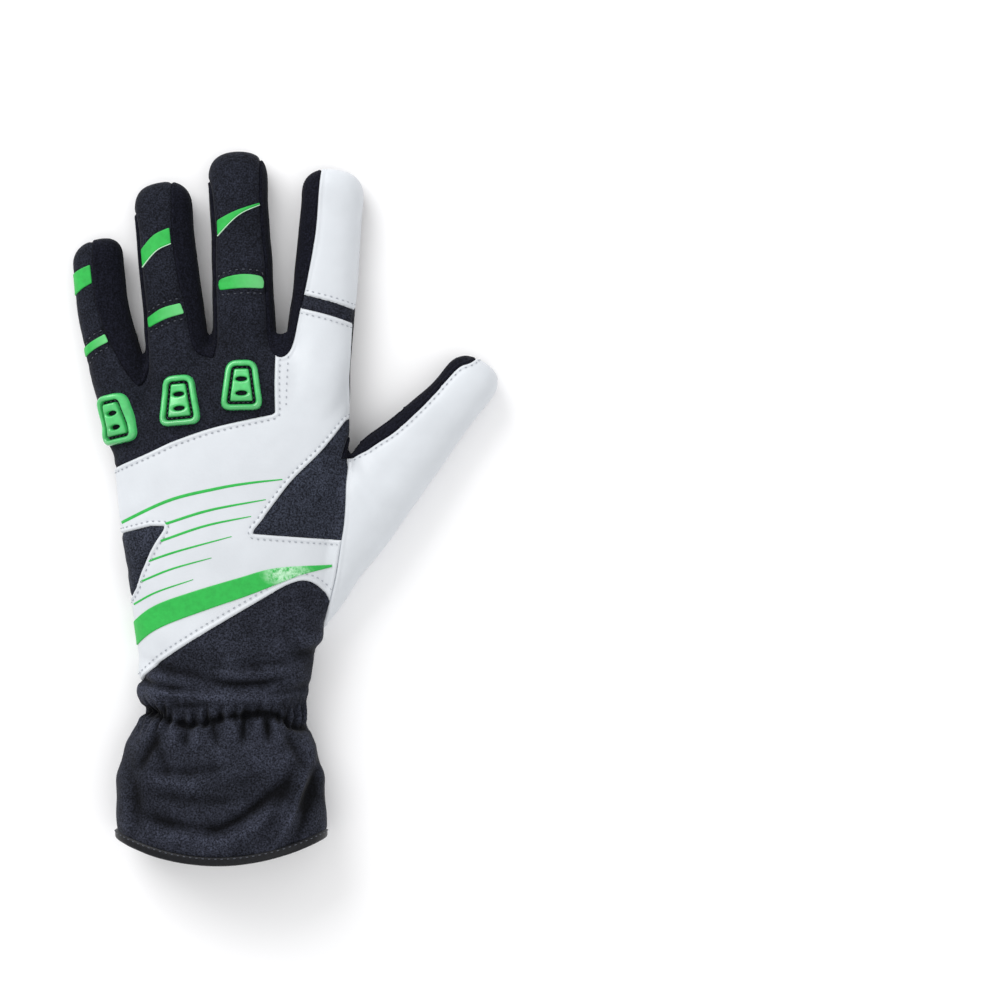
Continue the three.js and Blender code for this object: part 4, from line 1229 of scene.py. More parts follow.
def heathered_softshell(name, colour, fleck=3.4):
    """Knitted polyester softshell: a dull black cloth with paler fibres that make it look heathered, with
    painted shade in its folds and painted highlights on their ridges.
    """
    values = {"Roughness": 0.9, "Sheen Weight": 0.06, "Sheen Roughness": 0.4, "Specular IOR Level": 0.1}
    # Fibres of about 0.2 mm are drawn 0.7 mm across, the finest that shows in the render.
    spots = (0.7, toned(colour, 0.45), toned(colour, fleck), (0.38, 0.72), 2.0)
    material, tree, shader, place, fibres = patterned(name, values, spots, (0.25, 0.7))
    _, broad = mottled(tree, place, 7.0, toned([1, 1, 1], 0.68), toned([1, 1, 1], 1.0), (0.32, 0.68))
    tones = {"A": fibres, "B": broad.outputs["Color"]}
    blotched = add(tree, "ShaderNodeMix", {"Factor": 1.0}, tones, **MULTIPLIED)
    # Painted shade darkens the folds and a painted highlight lightens their ridges, by how deep each point
    # lies in a fold.
    hollow = add(tree, "ShaderNodeAttribute", attribute_name="hollow")
    stops = {"From Min": -1.8, "From Max": 1.8, "To Min": 1.85, "To Max": 0.15}
    shade = add(tree, "ShaderNodeMapRange", stops, {"Value": hollow.outputs["Fac"]})
    tones = {"A": blotched.outputs["Result"], "B": shade.outputs["Result"]}
    mixed = add(tree, "ShaderNodeMix", {"Factor": 1.0}, tones, **MULTIPLIED)
    tree.links.new(mixed.outputs["Result"], shader.inputs["Base Color"])
    return material


def coated_leather(name, colour):
    """Polyurethane-coated white leather: smooth and slightly cool, with a fine pebble and a soft gloss."""
    values = {"Roughness": 0.46, "Specular IOR Level": 0.45}
    material, tree, shader, place = blank(name, values)
    _, ramp = mottled(tree, place, 22.0, toned(colour, 0.95), rgba(colour), (0.35, 0.65))
    tree.links.new(ramp.outputs["Color"], shader.inputs["Base Color"])
    values = {"Scale": per_metre(1.1), "Randomness": 1.0}
    pebble = add(tree, "ShaderNodeTexVoronoi", values, {"Vector": place}, feature="SMOOTH_F1")
    relief = {"Distance": 0.08 * MM, "Strength": 0.35}
    bump = add(tree, "ShaderNodeBump", relief, {"Height": pebble.outputs["Distance"]})
    tree.links.new(bump.outputs["Normal"], shader.inputs["Normal"])
    return material


def napped_suede(name, colour):
    """Brushed synthetic suede: very dull, with a nap that leaves paler and darker specks."""
    values = {"Roughness": 0.95, "Sheen Weight": 0.1, "Sheen Roughness": 0.5, "Specular IOR Level": 0.12}
    # The nap's specks of about 0.3 mm are drawn 0.8 mm across.
    spots = (0.8, toned(colour, 0.5), toned(colour, 3.4), (0.38, 0.76))
    return patterned(name, values, spots, (0.2, 0.7))[0]


RIB = 1.0  # millimetres from rib to rib of the stretch cloth
WAVE_TURN = 6.28  # a wave pattern of scale 1 has this many bands in a metre


def stretch_cloth(name, colour):
    """Knitted stretch cloth between the fingers: plain and dull, with fine ribs along the finger."""
    values = {"Roughness": 0.9, "Sheen Weight": 0.02, "Specular IOR Level": 0.06}
    material, tree, shader, place = blank(name, values)
    # Its stitches of about 0.3 mm are drawn 0.7 mm across.
    _, ramp = mottled(tree, place, 0.7, toned(colour, 0.5), toned(colour, 2.8), (0.4, 0.75), 2.0)
    tree.links.new(ramp.outputs["Color"], shader.inputs["Base Color"])
    values = {"Scale": per_metre(RIB) / WAVE_TURN, "Distortion": 0.6, "Detail": 1.0}
    ribs = add(tree, "ShaderNodeTexWave", values, {"Vector": place}, bands_direction="X")
    relief = {"Distance": 0.15 * MM, "Strength": 0.4}
    bump = add(tree, "ShaderNodeBump", relief, {"Height": ribs.outputs["Fac"]})
    tree.links.new(bump.outputs["Normal"], shader.inputs["Normal"])
    return material


BAND_HIGHLIGHT = ((25.0, 120.5, 0.0), 9.5)  # middle and reach of the painted highlight patch on the green band, in millimetres


def band_highlight(tree):
    """A painted highlight patch on the green band: spots that thin out away from one place."""
    centre, reach = BAND_HIGHLIGHT
    middle = {1: tuple(in_row_frame(centre))}
    place = add(tree, "ShaderNodeTexCoord").outputs["Object"]
    gap = add(tree, "ShaderNodeVectorMath", middle, {0: place}, operation="SUBTRACT")
    shape = {1: (0.8, 1.6, 0.0)}
    flat = add(tree, "ShaderNodeVectorMath", shape, {0: gap.outputs["Vector"]}, operation="MULTIPLY")
    away = add(tree, "ShaderNodeVectorMath", links={0: flat.outputs["Vector"]}, operation="LENGTH")
    stops = {"From Min": reach * MM, "From Max": reach * MM * 0.4, "To Min": 0.0, "To Max": 0.85}
    patch = add(tree, "ShaderNodeMapRange", stops, {"Value": away.outputs["Value"]})
    values = {"Scale": per_metre(2.6), "Detail": 4.0, "Roughness": 0.7}
    spots = add(tree, "ShaderNodeTexNoise", values, {"Vector": place})
    stops = {"From Min": 0.38, "From Max": 0.58}
    rough = add(tree, "ShaderNodeMapRange", stops, {"Value": spots.outputs["Fac"]})
    both = {0: patch.outputs["Result"], 1: rough.outputs["Result"]}
    return add(tree, "ShaderNodeMath", links=both, operation="MULTIPLY").outputs["Value"]


def highlight_rightwards(tree):
    """A painted highlight that comes in towards a piece's right end."""
    whole = add(tree, "ShaderNodeTexCoord").outputs["Generated"]
    sides = add(tree, "ShaderNodeSeparateXYZ", links={"Vector": whole})
    stops = {"From Min": 0.25, "From Max": 1.0, "To Max": 0.45}
    share = add(tree, "ShaderNodeMapRange", stops, {"Value": sides.outputs["X"]})
    return share.outputs["Result"]


def printed_green(name, colour, pale=None, where=None):
    """Green coated inserts: an even satin finish with faint scuffs, paler where a pattern of painted
    highlight says so.
    """
    values = {"Roughness": 0.5, "Specular IOR Level": 0.35}
    spots = (2.4, toned(colour, 0.88), toned(colour, 1.06), (0.3, 0.62))
    material, tree, shader, _, tone = patterned(name, values, spots, (0.06, 0.4))
    if where is not None:
        mixed = add(tree, "ShaderNodeMix", {"B": rgba(pale)}, {"Factor": where(tree), "A": tone}, **COLOURS)
        tree.links.new(mixed.outputs["Result"], shader.inputs["Base Color"])
    return material


def moulded_rubber(name, colour):
    """Injection-moulded thermoplastic rubber: bright green with a soft shine, and painted shade that darkens
    it towards the hand.
    """
    values = {"Roughness": 0.3, "Specular IOR Level": 0.5, "Coat Weight": 0.8, "Coat Roughness": 0.12}
    spots = (3.0, toned(colour, 0.88), toned(colour, 1.08), (0.35, 0.65))
    material, tree, shader, _, tone = patterned(name, values, spots, (0.1, 0.3))
    # Painted shade: the green darkens towards the guard's lower end in Y, the end towards the hand.
    whole = add(tree, "ShaderNodeTexCoord").outputs["Generated"]
    sides = add(tree, "ShaderNodeSeparateXYZ", links={"Vector": whole})
    stops = {"From Min": 0.32, "From Max": 0.0, "To Min": 0.0, "To Max": 0.6}
    low = add(tree, "ShaderNodeMapRange", stops, {"Value": sides.outputs["Y"]})
    tones = {"Factor": low.outputs["Result"], "A": tone}
    mixed = add(tree, "ShaderNodeMix", {"B": toned(colour, 0.5)}, tones, **COLOURS)
    tree.links.new(mixed.outputs["Result"], shader.inputs["Base Color"])
    return material


def printed_silicone(name, colour):
    """Screen-printed silicone: a black film over the suede, glossier where it has levelled out."""
    values = {"Specular IOR Level": 0.1, "Coat Weight": 0.12, "Coat Roughness": 0.05}
    spots = (1.0, toned(colour, 0.7), toned(colour, 1.8), (0.4, 0.78))
    material, tree, shader, place, _ = patterned(name, values, spots, (0.06, 0.5))
    broad = add(tree, "ShaderNodeTexNoise", {"Scale": per_metre(18), "Detail": 3.0}, {"Vector": place})
    stops = {"From Min": 0.35, "From Max": 0.65, "To Min": 0.3, "To Max": 0.6}
    gloss = add(tree, "ShaderNodeMapRange", stops, {"Value": broad.outputs["Fac"]})
    tree.links.new(gloss.outputs["Result"], shader.inputs["Roughness"])
    return material


def woven_tape(name, colour):
    """Woven binding tape: a close black weave with a slight shine."""
    values = {"Roughness": 0.4, "Specular IOR Level": 0.22}
    # Its weave of about 0.3 mm is drawn 0.8 mm across.
    spots = (0.8, toned(colour, 0.7), toned(colour, 1.9), (0.4, 0.75), 2.0)
    return patterned(name, values, spots, (0.2, 0.6))[0]


def spun_thread(name, colour):
    """Bonded nylon thread: three twisted plies with a slight sheen."""
    values = {"Roughness": 0.5, "Specular IOR Level": 0.4}
    spots = (0.5, toned(colour, 0.8), rgba(colour), (0.35, 0.65), 1.0)
    return patterned(name, values, spots, (0.05, 0.5))[0]


def pale_floor(name, colour):
    """Matt studio paper: an even pale ground."""
    values = {"Roughness": 0.9, "Specular IOR Level": 0.1}
    material, tree, shader, place = blank(name, values)
    _, ramp = mottled(tree, place, 120.0, toned(colour, 0.995), rgba(colour), (0.4, 0.6))
    tree.links.new(ramp.outputs["Color"], shader.inputs["Base Color"])
    return material


@lru_cache(maxsize=None)
def finish(kind):
    """The finish by its short name, made once."""
    colours = bpy.context.scene.glove_colours
    green, joint = colours.green, colours.joint_end_highlight
    return {
        "softshell": lambda: heathered_softshell("heathered_softshell", colours.softshell),
        "inset": lambda: heathered_softshell("heathered_softshell_inset", colours.inset_cloth),
        "knuckle": lambda: heathered_softshell("heathered_softshell_knuckle", colours.knuckle_cloth, 3.0),
        "stretch": lambda: stretch_cloth("stretch_cloth", colours.side_cloth),
        "leather": lambda: coated_leather("coated_leather", colours.leather),
        "suede": lambda: napped_suede("napped_suede", colours.suede),
        "silicone": lambda: printed_silicone("printed_silicone", colours.silicone),
        "green": lambda: printed_green("printed_green", green),
        # The joint inserts are painted paler towards their right ends, as a highlight.
        "green_joint_highlit": lambda: printed_green("printed_green_joint", green, joint, highlight_rightwards),
        # The band has a painted highlight patch near its right end.
        "band": lambda: printed_green("printed_green_band_highlit", green, colours.pale_highlight_colour, band_highlight),
        # The pale lines beside the tip inserts are painted highlights.
        "edge_highlight": lambda: printed_green("painted_highlight_pale", colours.pale_highlight_colour),
        "rubber": lambda: moulded_rubber("moulded_rubber", colours.guard),
        "binding": lambda: woven_tape("woven_tape", colours.binding),
        "thread": lambda: spun_thread("spun_thread_pale", colours.pale_thread),
        "dark_thread": lambda: spun_thread("spun_thread_dark", colours.dark_thread),
        "floor": lambda: pale_floor("studio_paper", colours.floor),
    }[kind]()


PANEL_FINISH = {
    "knuckle_panel": ("knuckle", "softshell"),
    "web_panel": ("inset", "softshell"),
    "ulnar_inset": ("inset", "softshell"),
    "wrist_panel": ("softshell", "softshell"),
    "index_joint_band": ("softshell", "softshell"),
    "thumb_panel": ("leather", "white_leather"),
    "leather_panel": ("leather", "white_leather"),
    "index_tip_panel": ("leather", "white_leather"),
    "palm_panel": ("suede", "palm_suede"),
    "cuff_palm": ("softshell", "softshell"),
    **{name: ("stretch", "side_cloth") for name in STRIPS},
}

# Green inserts as shares of each finger: the upper edge from the left, then the lower edge from the right
STRIPES = {
    "pinky_tip": (
        [(-1.3, 0.815), (-0.7, 0.845), (-0.24, 0.858)],
        [(-0.24, 0.755), (-0.7, 0.732), (-1.3, 0.685)],
    ),
    "pinky_joint": (
        [(-1.3, 0.385), (-0.6, 0.427), (-0.06, 0.452)],
        [(0, 0.405), (-0.6, 0.378), (-1.3, 0.33)],
    ),
    "ring_tip": (
        [(-0.84, 0.7), (-0.35, 0.757), (0.22, 0.784)],
        [(0.22, 0.712), (-0.3, 0.686), (-0.84, 0.622)],
    ),
    "ring_joint": (
        [(-0.82, 0.387), (-0.3, 0.422), (0.32, 0.436)],
        [(0.4, 0.388), (-0.2, 0.372), (-0.8, 0.342)],
    ),
    "middle_tip": (
        [(-0.74, 0.722), (-0.1, 0.755), (0.74, 0.785)],
        [(0.74, 0.778), (0, 0.738), (-0.74, 0.661)],
    ),
    "middle_joint": (
        [(-0.75, 0.464), (-0.64, 0.486), (0, 0.5), (0.62, 0.491), (0.74, 0.468)],
        [(0.71, 0.441), (0, 0.445), (-0.71, 0.441)],
    ),
}
INSERT_EDGE = 0.5  # how far in from its outline an insert reaches its height
EDGE_HIGHLIGHT_LINE = {"shift": 0.0015, "half": 0.19, "rise": 0.4}  # a pale line painted as a highlight along the lower edge of an insert near the tip
HAND_BAND = np.vstack(
    [
        hand_curve(
            (-0.48, 0.185), (-0.377, 0.255), (-0.287, 0.295), (-0.147, 0.328), (0.048, 0.366),
            (0.2, 0.392), (0.42, 0.4),
        ),
        hand_curve(
            (0.42, 0.394), (0.3, 0.374), (0.243, 0.36), (0.087, 0.32), (-0.069, 0.285), (-0.257, 0.239),
            (-0.358, 0.196), (-0.46, 0.12),
        ),
    ]
)
LINE = {"rise": 0.16, "taper": 1.12}
# How a printed line falls to its edges, and how deep it sits in the cloth
RIBBON = {"droop": 0.6, "sink": 0.3}
# Thin printed lines on the white leather: the middle line, from the little finger's side, and the half width
LINES = [
    ([(-0.436, 0.511), (-0.233, 0.57), (-0.046, 0.6), (0.087, 0.615), (0.223, 0.625)], 0.65),
    ([(-0.249, 0.508), (-0.069, 0.544), (0.157, 0.572)], 0.55),
    ([(-0.268, 0.463), (-0.086, 0.503), (0.098, 0.528)], 0.5),
    ([(-0.32, 0.41), (-0.194, 0.437), (0.02, 0.475)], 0.45),
    ([(-0.355, 0.355), (-0.225, 0.389), (-0.061, 0.419)], 0.42),
    ([(-0.385, 0.295), (-0.287, 0.328), (-0.135, 0.362)], 0.4),
]
GUARD_PLACES = {
    "pinky": dict(across=-0.462, along=0.785, lean=-12, tilt=-36),
    "ring": dict(across=-0.196, along=0.834, lean=-5, tilt=-8),
    "middle": dict(across=0.056, along=0.874, lean=-1, tilt=0),
}
GRIP_MAIN = rounded(
    hand_points(
        (-0.026, 0.885), (-0.396, 0.743), (-0.43, 0.68), (-0.343, 0.486), (-0.235, 0.299),
        (-0.175, 0.262), (0.004, 0.33), (0.004, 0.6), (-0.02, 0.632), (0.37, 0.672), (0.405, 0.71),
        (0.405, 0.83), (0.36, 0.858), (0.16, 0.885),
    ),
    6.0,
)
GRIP_THENAR = rounded(
    hand_points(
        (0.046, 0.608), (0.052, 0.372), (0.09, 0.353), (0.256, 0.4), (0.38, 0.45), (0.378, 0.58),
        (0.345, 0.606),
    ),
    5.0,
)
PADS = [(0.24, 0.42, 0.42), (0.48, 0.63, 0.38), (0.73, 0.89, 0.36)]
THUMB_PADS = [(0.5, 0.62, 0.3), (0.68, 0.78, 0.34), (0.83, 0.94, 0.36)]


def laid_on(field, labels, height, edge, sink=0.25):
    """A thin piece laid on the cloth: what a field marks, raised by a height with a round edge."""
    made = skin()
    used, faces = made.panel(*labels)
    data = np.hstack([made.points[used], made.normals[used]])
    for _ in range(2):
        value = field(data[:, :3])
        reach = 1.2 * edge + 0.6
        close = (value[faces] > -reach).any(1)
        used, faces = own_points(faces[close])
        data, faces, _ = refined(data[used], faces, np.abs(value[used]) < reach)
    data, faces, _, inside = split(data, faces, field(data[:, :3]))
    used, faces = own_points(faces[inside])
    data = data[used]
    normals = unit(data[:, 3:])
    depth = np.clip(field(data[:, :3]) / edge, 0, 1)
    rise = height * (0.35 + 0.65 * np.sqrt(1 - (1 - depth) ** 2))
    top = data[:, :3] + normals * rise[:, None]
    return closed(top, data[:, :3] - normals * sink, faces)


def surface_point(x, y):
    """The place and outward direction of the glove's back at a plan point."""
    hit, normal, _, _ = skin_tree().ray_cast(Vector((x, y, 90)), Vector((0, 0, -1)))
    return None if hit is None else (np.array(hit), np.array(normal))


def ribbon(middle, half_widths, rise):
    """A thin printed line over the back of the hand, tapered as its half widths say."""
    direction = unit(np.gradient(middle, axis=0))
    across = np.stack([-direction[:, 1], direction[:, 0]], 1)
    shares = np.linspace(-1, 1, 5)
    tops, bottoms = [], []
    for point, side, half in zip(middle, across, half_widths):
        for share in shares:
            plan = point + side * half * share
            found = surface_point(*plan)
            if found is None:
                return None
            place, normal = found
            tops.append(place + normal * rise * (1 - RIBBON["droop"] * share**4))
            bottoms.append(place - normal * RIBBON["sink"])
    count, width = len(middle), len(shares)
    row, step = np.meshgrid(np.arange(count - 1), np.arange(width - 1), indexing="ij")
    a = (row * width + step).ravel()
    b = a + width
    faces = np.concatenate([np.stack([a, a + 1, b + 1], 1), np.stack([a, b + 1, b], 1)])
    top = np.array(tops)
    if face_normals(top, faces)[:, 2].sum() < 0:
        faces = faces[:, ::-1]
    return closed(top, np.array(bottoms), faces)


# Knuckle guards


def torus(rings):
    """Points and faces of a closed roll through rings of points, the last ring meeting the first."""
    count, around = rings.shape[:2]
    return turned_out(rings.reshape(-1, 3), wound(count, count, around))


def turned_out(points, faces):
    """The same solid with its faces the right way out."""
    corners = points[faces]
    volume = np.einsum("ij,ij->i", corners[:, 0], np.cross(corners[:, 1], corners[:, 2])).sum()
    return points, faces if volume > 0 else faces[:, ::-1]


# The core's height as a share of the rim's, the spacing of its points and the width of its round edge
CORE = {"height": 0.86, "step": 0.3, "edge": 0.8}
SUNK = -0.5  # how far the mouldings reach into the cloth
GUARD_SEWING = {"above": 0.35, "pitch": 2.0, "long": 1.1, "thick": 0.45}


def guard_ring(shrink, arc=10, side=10):
    """The guard's outline, shrunk by a distance, with the same number of points each time."""
    wide, narrow, long = GUARD["wide"], GUARD["narrow"], GUARD["long"]
    half = long / 2
    corners = [(-wide / 2, -half), (wide / 2, -half), (narrow / 2, half), (-narrow / 2, half)]
    corners = grown(corners, -shrink)
    arcs = rounded(corners, max(0.9, GUARD["corner"] - shrink), arc).reshape(4, arc, 2)
    t = np.linspace(0, 1, side + 1)[1:-1, None]
    pieces = []
    for i in range(4):
        start, end = arcs[i][-1], arcs[(i + 1) % 4][0]
        pieces += [arcs[i], start * (1 - t) + end * t]
    return np.vstack(pieces)


class GuardSeat:
    """Where a guard sits: its middle on the cloth and its own directions."""

    def __init__(self, place):
        lean, tilt = math.radians(-place["lean"]), math.radians(place["tilt"])
        c, s = math.cos(lean), math.sin(lean)
        turn = np.array([[c, -s, 0], [s, c, 0], [0, 0, 1]])
        c, s = math.cos(tilt), math.sin(tilt)
        self.axes = turn @ np.array([[c, 0, s], [0, 1, 0], [-s, 0, c]])
        x, y = on_hand(place["across"], place["along"])
        self.middle = surface_point(x, y)[0]

    def over_cloth(self, plan, height):
        """Points over the cloth at plan points of the guard and heights above the cloth."""
        out = []
        up = self.axes[:, 2]
        low = self.middle
        for (x, y), h in zip(plan, height):
            foot = self.middle + self.axes[:, 0] * x + self.axes[:, 1] * y
            hit, _, _, _ = skin_tree().ray_cast(Vector(foot + up * 25), Vector(-up))
            if hit is not None:
                low = np.array(hit)
            else:
                low = foot + up * ((low - foot) @ up)
            out.append(low + up * h)
        return np.array(out)


def guard_rim(seat, height):
    """The guard's raised rim: a round ridge swept along its outline."""
    share = 0.5 - 0.5 * np.cos(np.linspace(0, math.pi, 13))
    rise = height * (1 - np.abs(2 * share - 1) ** 2.4) ** (1 / 2.4)
    stations = [(0.0, SUNK), *zip(share * GUARD["rim"], rise), (GUARD["rim"], SUNK)]
    rings = [seat.over_cloth(guard_ring(inset), [rise] * len(guard_ring(inset))) for inset, rise in stations]
    return torus(np.array(rings))


def guard_core(seat, height):
    """The guard's slotted middle: a plateau with round edges and two oval vents."""
    outline = guard_ring(GUARD["rim"] + GUARD["slit"])
    step = CORE["step"]
    low, high = outline.min(0) - step, outline.max(0) + step
    xs, ys = np.arange(low[0], high[0] + step, step), np.arange(low[1], high[1] + step, step)
    grid = np.stack(np.meshgrid(xs, ys, indexing="ij"), -1).reshape(-1, 2)
    row, column = np.meshgrid(np.arange(len(xs) - 1), np.arange(len(ys) - 1), indexing="ij")
    a = (row * len(ys) + column).ravel()
    b, c, d = a + len(ys), a + len(ys) + 1, a + 1
    faces = np.concatenate([np.stack([a, b, c], 1), np.stack([a, c, d], 1)])

    def field(points):
        inside = inside_distance(points, outline)
        for share in SLOT["places"]:
            x, y = points[:, 0] / SLOT["long"], (points[:, 1] - share * GUARD["long"]) / SLOT["high"]
            inside = np.minimum(inside, (2 * np.hypot(x, y) - 1) * SLOT["high"] / 2)
        return inside

    plan, faces, _, inside = split(grid, faces, field(grid))
    used, faces = own_points(faces[inside])
    plan = plan[used]
    edge = np.clip(field(plan) / CORE["edge"], 0, 1)
    rise = height * (0.45 + 0.55 * np.sqrt(1 - (1 - edge) ** 2))
    return closed(seat.over_cloth(plan, rise), seat.over_cloth(plan, np.full(len(plan), SUNK)), faces)


# Sewing


def contour(points, faces, value, level):
    """Lines of edge places where a value meets a level: lists of (point, point, share)."""
    above = value > level
    mixed = above[faces].any(1) & ~above[faces].all(1)
    segments = {}
    for tri in faces[mixed].tolist():
        ends = []
        for a, b in ((tri[0], tri[1]), (tri[1], tri[2]), (tri[2], tri[0])):
            if above[a] != above[b]:
                ends.append((min(a, b), max(a, b)))
        for here, there in (ends, ends[::-1]):
            segments.setdefault(here, []).append(there)
    lines, seen = [], set()
    starts = [e for e, near in segments.items() if len(near) == 1] + list(segments)
    for start in starts:
        if start in seen:
            continue
        line, here = [start], start
        seen.add(start)
        while True:
            onward = [e for e in segments[here] if e not in seen]
            if not onward:
                break
            here = onward[0]
            seen.add(here)
            line.append(here)
        if len(segments[start]) == 2 and start in segments[line[-1]]:
            line.append(start)
        lines.append(np.array(line))
    return lines


def evened(line, rounds=6):
    """A line of points with its small zigzags taken off."""
    loop = np.allclose(line[0], line[-1])
    for _ in range(rounds):
        middle = (line[:-2] + 2 * line[1:-1] + line[2:]) / 4
        if loop:
            end = (line[-2:-1] + 2 * line[-1:] + line[1:2]) / 4
            line = np.vstack([end, middle, end])
        else:
            line = np.vstack([line[:1], middle, line[-1:]])
    return line


def level_lines(points, normals, faces, value, level):
    """Lines on the cloth where a value meets a level, each with its outward directions."""
    lines = []
    for line in contour(points, faces, value, level):
        if len(line) < 12:
            continue
        a, b = line[:, 0], line[:, 1]
        share = ((level - value[a]) / (value[b] - value[a]))[:, None]
        ups = unit(normals[a] * (1 - share) + normals[b] * share)
        lines.append((evened(points[a] * (1 - share) + points[b] * share), ups))
    return lines


def over_back(line):
    """A plan line laid over the back of the glove, with its outward directions."""
    found = [surface_point(x, y) for x, y in line]
    found = [place for place in found if place is not None]
    return np.array([place for place, _ in found]), np.array([up for _, up in found])


def sewn(line, normals, pitch, long, thick):
    """A row of stitches along a line on the cloth, as one set of points and faces."""
    length = np.concatenate([[0], np.cumsum(np.linalg.norm(np.diff(line, axis=0), axis=1))])
    count = int(length[-1] / pitch)
    if count < 2:
        return None
    at = (np.arange(count) + 0.5) * length[-1] / count

    def read(rows, at):
        return np.stack([np.interp(at, length, rows[:, k]) for k in range(3)], 1)

    spots, ups = read(line, at), unit(read(normals, at))
    forward = unit(read(line, at + 0.4) - read(line, at - 0.4))
    sideways = np.cross(ups, forward)
    share = np.linspace(0, 1, 7)
    turn = np.linspace(0, 2 * math.pi, 6, endpoint=False)
    radius = thick / 2 * np.sqrt(np.clip(1 - (2 * share - 1) ** 4, 0.02, 1))
    lift = thick * (0.9 * np.sin(math.pi * share) - 0.35)
    rings = (
        spots[:, None, None]
        + forward[:, None, None] * ((share - 0.5) * long)[None, :, None, None]
        + ups[:, None, None] * (lift[:, None] + radius[:, None] * np.sin(turn))[None, ..., None]
        + sideways[:, None, None] * (radius[:, None] * np.cos(turn))[None, ..., None]
    )
    return joined([loft(stitch) for stitch in rings])


# Operators


def require(done, message):
    if not done:
        raise RuntimeError(message)


class GLOVE_OT_panels(bpy.types.Operator):
    """Cuts the glove's cloth and leather into panels with turned seams"""

    bl_idname = "glove.panels"
    bl_label = "Sewn panels"

    def execute(self, context):
        sizes = context.scene.glove_sizes
        for name, (kind, slot) in PANEL_FINISH.items():
            points, faces, hollow = panel_shape(name, sizes)
            require(len(faces) > 100, f"panel {name} came out empty")
            piece(name + "_cloth", points, faces, finish(kind), slot, [name], hollow)
        return {"FINISHED"}


# The folded tape's section is a superellipse, and its stitches lie in and up from its outer face
TAPE = {"half_thick": 1.6, "half_wide": 1.95, "power": 0.62, "in": 0.1, "up": 1.1, "ripple": 0.05}


class GLOVE_OT_hem(bpy.types.Operator):
    """Folds a binding tape round the open mouth of the cuff, with its row of stitches"""

    bl_idname = "glove.hem"
    bl_label = "Hem binding"

    def execute(self, context):
        sizes = context.scene.glove_sizes
        line = body_rings(np.array([MOUTH_START]), WALL / 2)[0]
        line[:, 1] += HEM_RADIUS - MOUTH_START
        forward = unit(np.roll(line, -1, 0) - np.roll(line, 1, 0))
        outwards = unit(np.cross(forward, np.array([0, 1.0, 0])))
        middle = line.mean(0)
        outwards *= np.sign(((line - middle) * outwards).sum(1).mean())
        upwards = unit(np.cross(outwards, forward))
        upwards *= np.sign(upwards[:, 1].mean())
        turn = np.linspace(0, 2 * math.pi, 24, endpoint=False)
        thick = TAPE["half_thick"] * np.abs(np.cos(turn)) ** TAPE["power"] * np.sign(np.cos(turn))
        wide = TAPE["half_wide"] * np.abs(np.sin(turn)) ** TAPE["power"] * np.sign(np.sin(turn))
        ripple = 1 + TAPE["ripple"] * lumps(line, 9, 8)
        rings = (
            line[:, None]
            + outwards[:, None] * (thick[None, :] * ripple[:, None])[..., None]
            + upwards[:, None] * (wide[None, :] * ripple[:, None])[..., None]
        )
        piece("hem_tape", *torus(rings), finish("binding"), "binding", ["hem_binding"])
        row = line + outwards * (TAPE["half_thick"] - TAPE["in"]) + upwards * TAPE["up"]
        row = np.vstack([row, row[:1]])
        ups = np.vstack([outwards, outwards[:1]])
        stitches = sewn(row, ups, sizes.stitch_pitch / MM, sizes.stitch_length / MM, sizes.thread / MM)
        piece("hem_stitches", *stitches, finish("dark_thread"))
        return {"FINISHED"}


class GLOVE_OT_inserts(bpy.types.Operator):
    """Lays the green inserts and printed lines over the fingers and the hand"""

    bl_idname = "glove.inserts"
    bl_label = "Green inserts and lines"

    def execute(self, context):
        height = context.scene.glove_sizes.insert_height / MM
        for name, (upper, lower) in STRIPES.items():
            finger, place = name.split("_")
            sides = [along_digit(finger, side, 5) for side in (upper, lower)]
            outline = rounded(np.vstack(sides), 0.9, 4)
            points, faces = laid_on(within(outline), ["knuckle_panel"], height, INSERT_EDGE)
            kind = "green_joint_highlit" if place == "joint" else "green"
            piece("insert_" + name, points, faces, finish(kind), "green_print", ["stripe_" + name])
        points, faces = laid_on(within(HAND_BAND), ["leather_panel"], height, INSERT_EDGE)
        piece("insert_hand", points, faces, finish("band"), "green_print", ["stripe_hand"])
        solids = []
        for shares, half in LINES:
            middle = hand_curve(*shares, steps=24)
            share = np.linspace(0, 1, len(middle))
            taper = half * np.sqrt(np.clip(LINE["taper"] - share**2, 0, 1))
            made = ribbon(middle, taper, LINE["rise"])
            require(made is not None, "a printed line runs off the hand")
            solids.append(made)
        piece("printed_lines", *joined(solids), finish("green"), "green_print")
        # Pale lines along the lower edges of the ring and middle tip inserts, painted as highlights on their
        # raised edges.
        solids = []
        for finger in ("ring", "middle"):
            lower = STRIPES[finger + "_tip"][1]
            line = [(across, along - EDGE_HIGHLIGHT_LINE["shift"]) for across, along in lower]
            middle = along_digit(finger, line, 12)
            made = ribbon(middle, np.full(len(middle), EDGE_HIGHLIGHT_LINE["half"]), EDGE_HIGHLIGHT_LINE["rise"])
            require(made is not None, "a pale line runs off a finger")
            solids.append(made)
        piece("highlit_edges", *joined(solids), finish("edge_highlight"), "green_print")
        return {"FINISHED"}


